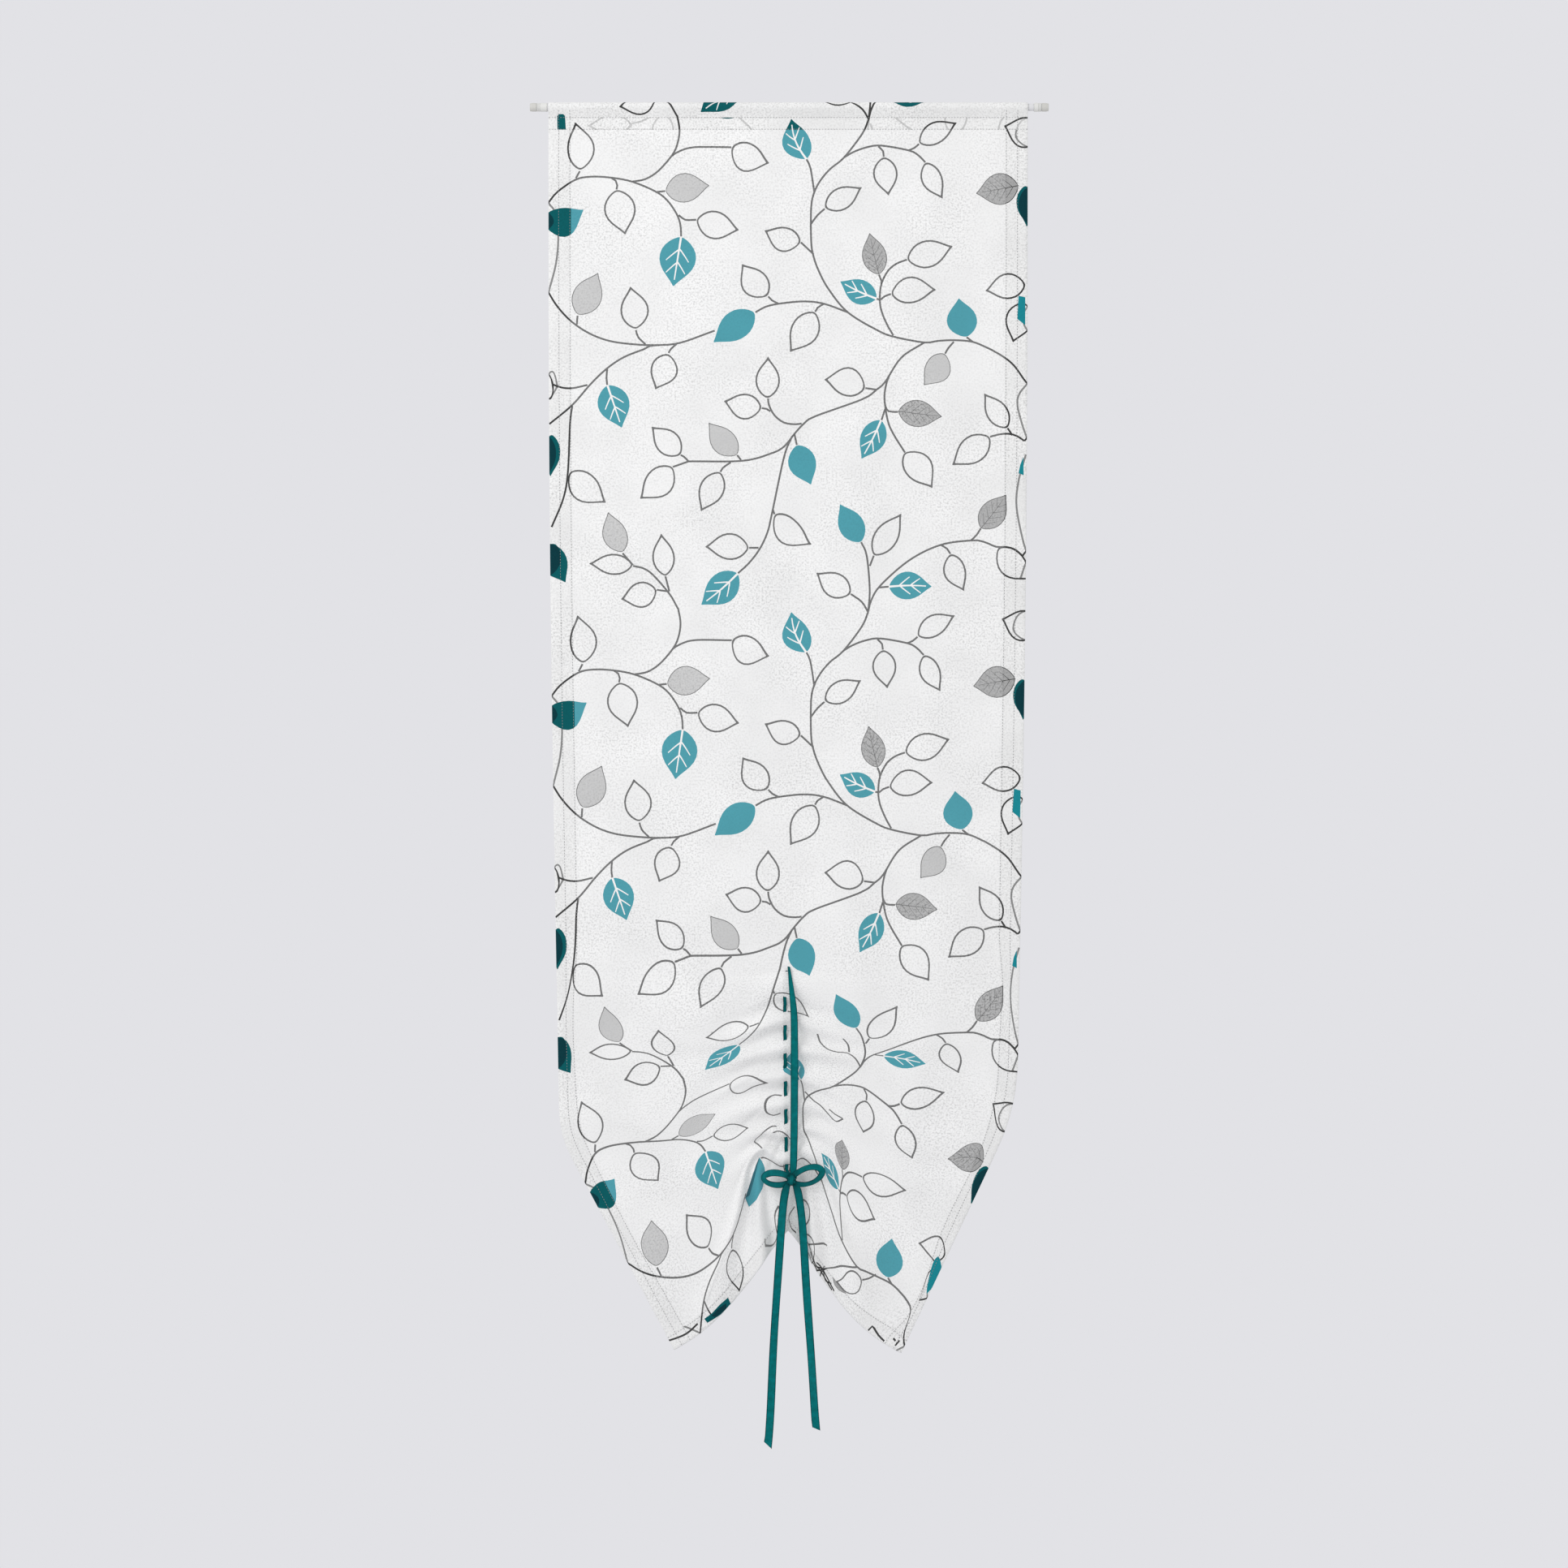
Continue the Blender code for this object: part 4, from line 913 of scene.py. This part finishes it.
paints = {  # paint on the face, then with cloth, paint or line showing through a hem
    "plain": ((240, 240, 240), 0.93, 1.0),
    "hem": ((237, 237, 237), 0.97, 1.1),
    "line": ((112, 112, 112), 0.97, 2.1),
    "lineHem": ((66, 66, 66), 0.98, 1.0),
    "lineUnder": ((140, 140, 140), 0.97, 1.0),
    "lineFaint": ((200, 200, 200), 0.97, 1.0),
    "teal": ((69, 155, 169), 0.97, 0.4),
    # painted shade of the flap's fold, on the teal leaf
    "tealFoldShade": ((32, 104, 118), 0.97, 0.4),
    "tealHem": ((0, 90, 95), 0.98, 0.5),
    "tealOver": ((24, 136, 148), 0.98, 0.5),
    "tealDeep": ((0, 56, 64), 0.98, 0.5),
    "white": ((246, 244, 243), 0.95, 0.5),
    "grey": ((198, 198, 198), 0.95, 0.9),
    "dark": ((171, 171, 171), 0.96, 2.2),
    "greyHem": ((168, 168, 168), 0.97, 1.0),
    "greyLine": ((116, 116, 116), 0.96, 1.2),
}


def seenPaint(own, under, doubled):  # what shows of the face's paint and the layer behind it
    if not doubled or own == "tealDeep":
        return own
    if "tealOver" in (own, under):
        return "tealOver"
    tealOwn, tealUnder = own == "teal", under == "teal"
    if tealOwn and tealUnder:
        return "tealDeep"
    if tealOwn or tealUnder:
        return "tealHem"
    if own in ("line", "greyLine"):
        return "lineHem"
    if under in ("line", "greyLine"):
        return "lineUnder"
    if own in ("grey", "dark") or under in ("grey", "dark"):
        return "greyHem"
    return "hem"


def makeCurtain():
    print("curtain: cutting and printing the cloth")
    flat, triangles, painted, shapes = cutCloth()
    places = clothPoint(flat[:, 0], flat[:, 1], 0.0)
    kinds = list(paints)
    finishes, kept = [], []
    hemStart = halfWidth - curtain["sideHem"]
    for corners, covers in zip(triangles, painted):
        own = under = "plain"
        for number in sorted(covers):
            _, kind, behind = shapes[number]
            if behind:
                under = kind
            else:
                own = kind
        if own == "slit":
            continue
        across, down = np.abs(flat[list(corners), 0]).mean(), flat[list(corners), 1].mean()
        doubled = across > hemStart or down > curtain["drop"] - curtain["bottomHem"]
        top = down < curtain["headingDepth"]
        if down < curtain["pocketDepth"]:
            under = "plain"  # the rod stands between the pocket's two layers
        finish = seenPaint(own, under, doubled or top)
        if top and finish == "lineUnder":
            finish = "lineFaint"
        kept.append(corners[::-1])
        finishes.append(kinds.index(finish))
    mesh = bpy.data.meshes.new("curtainCloth")
    mesh.from_pydata([tuple(p) for p in places], [], kept)
    uv = mesh.uv_layers.new(name="flatCut")
    corner = np.zeros(len(mesh.loops), np.int32)
    mesh.loops.foreach_get("vertex_index", corner)
    uv.data.foreach_set("uv", flat[corner].astype(np.float32).ravel())
    for kind, (colour, alpha, speckle) in paints.items():
        mesh.materials.append(clothMaterial("sheer" + kind.capitalize(), colour, alpha, speckle))
    mesh.polygons.foreach_set("material_index", finishes)
    mesh.shade_smooth()
    shape = bmesh.new()
    shape.from_mesh(mesh)
    loose = [v for v in shape.verts if not v.link_faces]
    bmesh.ops.delete(shape, geom=loose, context="VERTS")
    shape.to_mesh(mesh)
    shape.free()
    print("curtain:", len(mesh.polygons), "triangles")
    return linked("curtainCloth", mesh)


# Stitching along the hems
stitches = {
    "pitch": 0.0036,
    "length": 0.0022,
    "thickness": 0.0006,
    "lift": 0.0003,
    "hemInset": 0.0125,
    "foldInset": 0.0015,
    "colour": (150, 150, 152),
    "twist": ((96, 96, 98), (190, 190, 192)),
    "twistScale": 260,
}


def stitchTree(material):
    tree = bpy.data.node_groups.new("stitchRow", "GeometryNodeTree")
    for way in ("INPUT", "OUTPUT"):
        tree.interface.new_socket("Geometry", in_out=way, socket_type="NodeSocketGeometry")
    for name in ("Pitch", "Length", "Thickness"):
        socket = tree.interface.new_socket(name, in_out="INPUT", socket_type="NodeSocketFloat")
        socket.default_value = stitches[name.lower()]
    given = tree.nodes.new("NodeGroupInput").outputs
    line = addNode(tree, "GeometryNodeMeshToCurve", {"Mesh": given["Geometry"]}).outputs[0]
    inputs = {"Curve": line, "Length": given["Pitch"]}
    spaced = addNode(tree, "GeometryNodeResampleCurve", inputs, mode="LENGTH").outputs[0]
    inputs = {"Segments": 6, "Rings": 4, "Radius": 0.5}
    thread = addNode(tree, "GeometryNodeMeshUVSphere", inputs).outputs["Mesh"]
    inputs = {0: given["Thickness"], 1: given["Thickness"], 2: given["Length"]}
    size = addNode(tree, "ShaderNodeCombineXYZ", inputs).outputs[0]
    inputs = {"Geometry": thread, "Scale": size}
    shaped = addNode(tree, "GeometryNodeTransform", inputs).outputs[0]
    tangent = addNode(tree, "GeometryNodeInputTangent").outputs[0]
    turned = addNode(tree, "FunctionNodeAlignRotationToVector", {"Vector": tangent}, axis="Z")
    inputs = {"Points": spaced, "Instance": shaped, "Rotation": turned.outputs["Rotation"]}
    placed = addNode(tree, "GeometryNodeInstanceOnPoints", inputs).outputs[0]
    real = addNode(tree, "GeometryNodeRealizeInstances", {"Geometry": placed}).outputs[0]
    inputs = {"Geometry": real, "Material": material}
    finish = addNode(tree, "GeometryNodeSetMaterial", inputs).outputs[0]
    addNode(tree, "NodeGroupOutput", {"Geometry": finish})
    return tree


def stitchRows():  # flat lines that the hems are sewn along, on the face and on the back layer
    drop, turn, inset = curtain["drop"], curtain["turn"], stitches["foldInset"]
    hem, low = curtain["sideHem"] - inset, curtain["bottomHem"] - inset
    down = np.linspace(0.004, drop - 0.001, 420)
    rows = []
    for side in (-1, 1):
        for hemInset in (hem, stitches["hemInset"]):
            for reach in (halfWidth - hemInset, halfWidth + turn + hemInset):
                rows.append((np.full(len(down), side * reach), down))
    across = np.linspace(-halfWidth + 0.001, halfWidth - 0.001, 260)
    levels = [drop - low, drop + turn + low]
    for level in (curtain["pocketDepth"], curtain["headingDepth"] - 0.0008):
        levels += [level, cutTop + curtain["headingDepth"] - level]
    rows += [(across, np.full(len(across), level)) for level in levels]
    return [clothPoint(a, d, -stitches["lift"]) for a, d in rows]


def makeStitches():
    points, edges = [], []
    for row in stitchRows():
        start = len(points)
        points += [tuple(p) for p in row]
        edges += [(i, i + 1) for i in range(start, len(points) - 1)]
    mesh = bpy.data.meshes.new("stitchLines")
    mesh.from_pydata(points, edges, [])
    lines = linked("stitchLines", mesh)
    dark, pale = (linear(colour) for colour in stitches["twist"])
    thread = newMaterial("sewingThread", stitches["colour"], 0.6)
    tree = thread.node_tree
    place = addNode(tree, "ShaderNodeTexCoord").outputs["Object"]
    shade(tree, "Base Color", mixed(tree, noise(tree, place, stitches["twistScale"]), dark, pale))
    lines.modifiers.new("stitches", "NODES").node_group = stitchTree(thread)
    obj = realised(lines, "hemStitches")
    print("stitches:", len(obj.data.polygons), "faces")
    return obj


def realised(source, name):  # the evaluated object as a plain mesh
    graph = bpy.context.evaluated_depsgraph_get()
    mesh = bpy.data.meshes.new_from_object(source.evaluated_get(graph))
    bpy.data.objects.remove(source)
    mesh.name = name
    return linked(name, mesh)


# The ribbon: one length, threaded through the slits, brought up behind its own front leg and tied
ribbon = {
    "width": 0.010,
    "threaded": 0.0044,
    "thickness": 0.0005,
    "knot": (0.004, -0.015, knotZ),
    "knotSize": (0.0145, 0.0100, 0.0140),
    "knotTurns": ((-34, 0.0050, 0.86), (38, 0.0052, 0.94), (84, 0.0066, 1.04)),
    "frontX": 0.0074,
    "loopLength": {-1: 0.0345, 1: 0.0385},
    "loopHeight": {-1: 0.0142, 1: 0.0195},
    "loopLift": {-1: 0.07, 1: 0.25},
    "loopWidth": 0.0092,
    "loopFlare": 52,
    "tailDrop": {-1: 0.336, 1: 0.314},
    "tailSpread": {-1: -0.030, 1: 0.0316},
    "point": {-1: 0.008, 1: 0.005},
}
velvet = {  # colours of its body, its edges, and the painted shade where it is pulled or folded; then its grain
    "plain": (0, 100, 102),
    "deep": (0, 84, 84),
    "pale": (0, 127, 132),
    "fibre": (0, 104, 106),
    "rim": (0, 50, 54),
    # painted shade: the colour that the crease attribute darkens the ribbon towards in its folds and round
    # the knot
    "crease": (0, 38, 42),
    "patchScale": 160,
    "patchRange": (0.3, 0.7),
    "fibreScale": (60, 1400, 1),
    "rimRange": (0.0036, 0.0048),
    "ribScale": 520,
    "ribStrength": 0.35,
    "ribDepth": 0.0002,
}


def addStrip(shape, places, widths, ways, creaseShade):
    # A flat ribbon with slightly thick woven edges, along places; ways points across it, and creaseShade
    # says how much painted shade darkens its pulled and folded cloth
    uv, crease = shape.loops.layers.uv["woven"], shape.verts.layers.float["crease"]
    places, widths, ways = (np.asarray(v, float) for v in (places, widths, ways))
    ahead = np.gradient(places, axis=0)
    ahead /= np.linalg.norm(ahead, axis=1, keepdims=True)
    ways = ways - ahead * (ways * ahead).sum(1, keepdims=True)
    ways /= np.linalg.norm(ways, axis=1, keepdims=True)
    thin = np.cross(ahead, ways)
    section = ((-0.5, 0.3), (-0.485, 0.62), (-0.44, 0.62), (-0.40, 0.42), (-0.2, 0.5), (0, 0.53))
    section += tuple((-v, h) for v, h in section[-2::-1])
    section += tuple((v, -h) for v, h in section[::-1])
    length = np.concatenate([[0], np.cumsum(np.linalg.norm(np.diff(places, axis=0), axis=1))])
    rings = []
    for place, width, way, out, dark in zip(places, widths, ways, thin, creaseShade):
        ring = [place + way * width * v + out * ribbon["thickness"] * h for v, h in section]
        rings.append([shape.verts.new(p) for p in ring])
        for vertex in rings[-1]:
            # painted shade, stored in the crease attribute
            vertex[crease] = dark
    count, made, middle = len(section), [], ribbon["width"] / 2
    for i, (a, b) in enumerate(zip(rings, rings[1:])):
        for k in range(count):
            n = (k + 1) % count
            face = shape.faces.new((a[k], a[n], b[n], b[k]))
            made.append(face)
            for loop, (row, col) in zip(face.loops, ((i, k), (i, n), (i + 1, n), (i + 1, k))):
                loop[uv].uv = (length[row], section[col][0] * ribbon["width"] + middle)
    for ring, row in ((rings[0][::-1], 0), (rings[-1], len(rings) - 1)):
        face = shape.faces.new(ring)
        made.append(face)
        for loop in face.loops:
            loop[uv].uv = (length[row], middle)
    bmesh.ops.recalc_face_normals(shape, faces=made)
    return length[-1], rings


def newStrips():
    shape = bmesh.new()
    shape.loops.layers.uv.new("woven")
    shape.verts.layers.float.new("crease")
    return shape


def finishedStrips(shape, name, material):
    mesh = bpy.data.meshes.new(name)
    shape.to_mesh(mesh)
    shape.free()
    mesh.materials.append(material)
    mesh.shade_smooth()
    mesh.set_sharp_from_angle(angle=math.radians(50))
    return linked(name, mesh)


def ribbonMaterial():
    look = {"Specular IOR Level": 0.06, "Sheen Weight": 0.03, "Sheen Roughness": 0.35}
    look["Sheen Tint"] = (0.3, 0.85, 0.85, 1)
    material = newMaterial("ribbonVelvet", velvet["plain"], 0.6, **look)
    tree = material.node_tree
    woven = addNode(tree, "ShaderNodeUVMap", uv_map="woven").outputs[0]
    split = addNode(tree, "ShaderNodeSeparateXYZ", {0: woven}).outputs
    streak = addNode(tree, "ShaderNodeMapping", {"Vector": woven, "Scale": velvet["fibreScale"]})
    inputs = {0: split[1], 1: ribbon["width"] / 2}
    middle = addNode(tree, "ShaderNodeMath", inputs, operation="SUBTRACT").outputs[0]
    off = addNode(tree, "ShaderNodeMath", {0: middle}, operation="ABSOLUTE").outputs[0]
    patch = ranged(tree, noise(tree, woven, velvet["patchScale"], 4), *velvet["patchRange"])
    body = mixed(tree, patch, linear(velvet["deep"]), linear(velvet["pale"]))
    body = mixed(tree, noise(tree, streak.outputs[0], 1), body, linear(velvet["fibre"]))
    body = mixed(tree, ranged(tree, off, *velvet["rimRange"]), body, linear(velvet["rim"]))
    # painted shade: the crease attribute darkens the ribbon in its folds and round the knot
    crease = addNode(tree, "ShaderNodeAttribute", attribute_name="crease").outputs[2]
    shade(tree, "Base Color", mixed(tree, crease, body, linear(velvet["crease"])))
    inputs = {"Vector": woven, "Scale": velvet["ribScale"], "Distortion": 0.6, "Detail": 1}
    ribs = addNode(tree, "ShaderNodeTexWave", inputs, bands_direction="X")
    bumped(tree, ribs.outputs[1], velvet["ribStrength"], velvet["ribDepth"])
    return material


def frontLeg():
    knot = np.array(ribbon["knot"])
    frontY = -(pleatDepth + 0.0011)
    top, x = -gatherTop, ribbon["frontX"]
    line = [
        (*(knot + (0.0014, 0.002, 0.004)), 0.006),
        (x - 0.001, frontY - 0.001, knotZ + 0.012, 0.0086),
        (x, frontY, knotZ + 0.05, 0.0092),
        (x + 0.0005, frontY, knotZ + 0.11, 0.0094),
        (x + 0.0006, frontY, top - 0.11, 0.0094),
        (x + 0.0004, frontY, top - 0.068, 0.0090),
        (x - 0.0004, frontY, top - 0.050, 0.0084),
        (0.0054, frontY, top - 0.034, 0.0072),
        (0.0036, frontY * 0.9, top - 0.019, 0.0056),
        (0.0022, frontY * 0.55, top - 0.007, 0.0042),
        (0.0012, -0.0022, top + 0.0008, 0.0032),
        (0.0008, 0.0002, top + 0.0032, 0.003),
        (0.0004, 0.0014, top + 0.0018, 0.003),
    ]
    line = smoothLine(line, 0.0035)
    ways = np.tile((1.0, 0.12, 0.0), (len(line), 1))
    above = line[:, 2] - knotZ
    # painted shade near the knot and at the top, where the leg goes into the slit
    creaseShade = 0.75 * np.exp(-np.clip(above, 0, None) / 0.008) + 0.4 * smooth((above - 0.24) / 0.03)
    return line[:, :3], line[:, 3], ways, creaseShade


def threadedLeg():
    points = [(0.0002, 0.0018, -gatherTop + 0.001)]
    points.append((curtain["threadLine"], 0.0008, -gatherTop - 0.014))
    for down in slitDowns()[2:]:
        x, z = hungPlace(np.array(curtain["threadLine"]), np.array(down))
        points.append((float(x), 0.0, float(z)))
    points.append((points[-1][0], -0.001, knotZ + 0.012))
    knot = np.array(ribbon["knot"])
    points.append(tuple(knot + (-0.002, 0.0035, 0.004)))
    line = smoothLine(points, 0.004)
    bulge = np.sin(np.arange(len(line)) * 1.9)
    line[2:-3, 0] += 0.0003 * bulge[2:-3]
    widths = np.full(len(line), ribbon["threaded"]) + 0.0002 * bulge
    # the leg behind the cloth gets an even painted shade
    return line, widths, np.tile((1.0, 0.25, 0.0), (len(line), 1)), np.full(len(line), 0.3)


def bowLoop(side):
    knot, steps = np.array(ribbon["knot"]), 56
    t = math.pi * (2 * np.arange(steps + 1) / steps - 1)
    out = ribbon["loopLength"][side] * (1 + np.cos(t)) / 2
    rise = ribbon["loopHeight"][side] / 2 * np.sin(t) * np.sin((math.pi - np.abs(t)) / 2 + 0.42)
    rise = rise + 0.0016 * t / math.pi + ribbon["loopLift"][side] * out
    deep = 0.0012 * np.sin(t * 1.5) - 0.0016 * np.cos(t / 2)
    line = knot + np.stack([side * out, deep, rise], axis=1)
    ahead = np.gradient(line, axis=0)
    ahead /= np.linalg.norm(ahead, axis=1, keepdims=True)
    flare = np.radians(ribbon["loopFlare"]) * (1 + 0.18 * np.sin(2 * t + side))
    outward = np.stack([ahead[:, 2], 0 * t, -ahead[:, 0]], axis=1) * -side
    ways = outward * np.sin(flare)[:, None] - np.outer(np.cos(flare), (0, 1, 0))
    gather = 1 - 0.5 * smooth((np.abs(t) - 0.72 * math.pi) / (0.28 * math.pi))
    # painted shade, deepest where the loop comes back into the knot
    creaseShade = 0.12 + 0.7 * smooth((np.abs(t) - 0.5 * math.pi) / (0.45 * math.pi))
    return line, ribbon["loopWidth"] * gather, ways, creaseShade


def bowTail(side):
    knot, steps = np.array(ribbon["knot"]), 90
    t = np.arange(steps + 1) / steps
    share = 0.2 * (1 - np.exp(-t / 0.02)) + 0.25 * (1 - np.exp(-t / 0.2)) + 0.45 * t + 0.10 * t**6
    x = ribbon["tailSpread"][side] * share + 0.0006 * np.sin(9 * t + side) * smooth(t / 0.2)
    y = side * 0.0012 + 0.002 * smooth(t / 0.1) - 0.001 * np.sin(math.pi * t)
    y = y - 0.0014 * smooth(t / 0.15) * np.sin(7 * t + 2 * side)
    line = knot + np.stack([x, y, -ribbon["tailDrop"][side] * t], axis=1)
    twist = 0.35 * np.sin(5 * t + side) * smooth(t / 0.1)
    ways = np.stack([np.cos(twist), np.sin(twist), 0 * t], axis=1)
    # painted shade that fades out along the tail from the knot
    return line, ribbon["width"] * (0.6 + 0.4 * smooth(t / 0.05)), ways, 0.8 * np.exp(-t / 0.05)


def makeKnot(material):  # a core, and turns of the ribbon that cross over it
    shape, knot = newStrips(), Vector(ribbon["knot"])
    wide, deep, high = (0.5 * s for s in ribbon["knotSize"])
    core = bmesh.ops.create_icosphere(shape, subdivisions=3, radius=1)["verts"]
    for vertex in core:
        crease = 1 + 0.08 * math.sin(9 * vertex.co.x + 2 * vertex.co.z)
        x, y, z = vertex.co
        vertex.co = knot + Vector((0.8 * wide * x, 0.78 * deep * y, 0.8 * high * z)) * crease
    for tilt, width, out in ribbon["knotTurns"]:
        t = np.linspace(-0.5, math.tau - 0.3, 37)
        lean = np.radians(tilt)
        along = np.outer(np.cos(t), (math.cos(lean) * wide, 0, math.sin(lean) * high))
        places = np.array(knot) + along + np.outer(np.sin(t), (0, -deep * out, 0))
        across = np.array((-math.sin(lean), 0, math.cos(lean)))
        pinch = width * (0.78 + 0.22 * np.cos(t) ** 2)
        # painted shade on each turn, darkest where it wraps round the knot's sides
        creaseShade = 0.1 + 0.75 * np.cos(t) ** 2
        addStrip(shape, places, pinch, np.tile(across, (len(t), 1)), creaseShade)
    return finishedStrips(shape, "bowKnot", material)


def makeRibbon():  # one ribbon from its threaded leg to its two tails, then the knot on it
    print("ribbon: threaded leg, front leg, bow and tails")
    material, shape = ribbonMaterial(), newStrips()
    total = addStrip(shape, *frontLeg())[0] + addStrip(shape, *threadedLeg())[0]
    for side in (-1, 1):
        total += addStrip(shape, *bowLoop(side))[0]
        length, rings = addStrip(shape, *bowTail(side))
        total += length
        for number, ring in enumerate(rings[-4:], 1):  # the slanted cut
            middle = sum(v.co.x for v in ring) / len(ring)
            for vertex in ring:
                share = 0.5 - (vertex.co.x - middle) / ribbon["width"]
                vertex.co.z += ribbon["point"][side] * share * number / 4
    print("ribbon: length", round(float(total), 3))
    tie = finishedStrips(shape, "tieRibbon", material)
    return tie, makeKnot(material), float(total)


# Rod finishes: colour, roughness, metal, scale and depth of the grain
rodFinish = {
    "coatedTube": ((222, 222, 225), 0.32, 0.0, 220, 0.08),
    "capPlastic": ((222, 222, 220), 0.36, 0.0, 350, 0.05),
    "footRubber": ((206, 205, 201), 0.62, 0.0, 600, 0.12),
    "springWire": ((190, 190, 192), 0.28, 1.0, 900, 0.15),
}
rodPieces = {
    "coatedTube": ("rod_outer_tube", "rod_inner_tube"),
    "capPlastic": ("spring_seat", "inner_tube_plug", "left_end_cap", "right_end_cap"),
    "footRubber": ("left_foot", "right_foot"),
    "springWire": ("rod_spring",),
}


def rodMaterial(name, colour, roughness, metal, grainScale, grain):
    material = newMaterial(name, colour, roughness, Metallic=metal)
    tree = material.node_tree
    place = addNode(tree, "ShaderNodeTexCoord").outputs["Object"]
    grainy, base = noise(tree, place, grainScale, 3), linear(colour)
    shade(tree, "Base Color", mixed(tree, grainy, tuple(c * (1 - grain) for c in base), base))
    shade(tree, "Roughness", ranged(tree, grainy, 0.0, 1.0, roughness - 0.06, roughness + 0.08))
    bumped(tree, grainy, 0.12, 0.0001)
    return material


def dressRod():
    print("rod: finishes")
    for name, look in rodFinish.items():
        material = rodMaterial(name, *look)
        for piece in rodPieces[name]:
            for slot in nodes[piece].material_slots:
                slot.material = material


def makeSpring():  # a copy of the coil that closes and opens between its seat and the sliding tube
    coil = linked("springCoil", nodes["rod_spring"].data.copy())
    start, end = (corner[0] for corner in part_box("rod_spring"))
    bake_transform(coil, "root", "inner_rod", start=(start, 0, 0), end=(end, 0, 0))
    return coil


# Studio: the camera stands straight in front, as in the photograph
studio = {
    "cameraPlace": (-0.0051, -4.639, -0.8479),
    "lens": 85,
    "floorDown": 2.25,
    "floorRadius": 1.5,
    "floorColour": (226, 226, 230),
    "backColour": (226, 226, 230),
    "ambient": 0.79,
    "keyPower": 72,
    "keyPlace": (-2.4, -3.4, 1.2),
    "keyAim": (0, 0, -0.8),
    "keySize": 2.2,
}


def makeStudio():
    print("studio: camera, floor and light")
    scene = bpy.context.scene
    scene.view_settings.view_transform = "Standard"
    scene.camera = linked("camera", bpy.data.cameras.new("camera"))
    scene.camera.data.lens = studio["lens"]
    scene.camera.data.sensor_width = 36
    scene.camera.location = studio["cameraPlace"]
    scene.camera.rotation_euler = (math.radians(90), 0, 0)
    turns, radius = np.arange(64) * math.tau / 64, studio["floorRadius"]
    ring = [(radius * math.cos(t), radius * math.sin(t), -studio["floorDown"]) for t in turns]
    mesh = bpy.data.meshes.new("floor")
    mesh.from_pydata(ring, [], [range(64)])
    mesh.materials.append(newMaterial("floorPaint", studio["floorColour"], 0.9))
    linked("floor", mesh)
    scene.world = bpy.data.worlds.new("studioWorld")
    scene.world.use_nodes = True
    tree = scene.world.node_tree
    light = tree.nodes["Background"]
    light.inputs[0].default_value = (1, 1, 1, 1)
    light.inputs[1].default_value = studio["ambient"]
    seen = addNode(tree, "ShaderNodeBackground", {0: (*linear(studio["backColour"]), 1)})
    path = addNode(tree, "ShaderNodeLightPath").outputs
    either = path["Is Camera Ray"]
    for way in ("Is Glossy Ray", "Is Transmission Ray"):
        inputs = {0: either, 1: path[way]}
        either = addNode(tree, "ShaderNodeMath", inputs, operation="MAXIMUM").outputs[0]
    inputs = {0: either, 1: light.outputs[0], 2: seen.outputs[0]}
    mix = addNode(tree, "ShaderNodeMixShader", inputs)
    tree.links.new(mix.outputs[0], tree.nodes["World Output"].inputs[0])
    key = bpy.data.lights.new("keyLight", "AREA")
    key.energy, key.size = studio["keyPower"], studio["keySize"]
    lamp = linked("keyLight", key)
    lamp.location = studio["keyPlace"]
    aim = Vector(studio["keyAim"]) - lamp.location
    lamp.rotation_euler = aim.to_track_quat("-Z", "Y").to_euler()


curtainCloth = makeCurtain()
hemStitches = makeStitches()
tieRibbon, bowKnot, ribbonLength = makeRibbon()
dressRod()
springCoil = makeSpring()
makeStudio()

for piece in (curtainCloth, hemStitches, tieRibbon, bowKnot):
    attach(piece, "root")
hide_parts("curtain_panel")
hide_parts("tie_ribbon")
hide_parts("rod_spring")
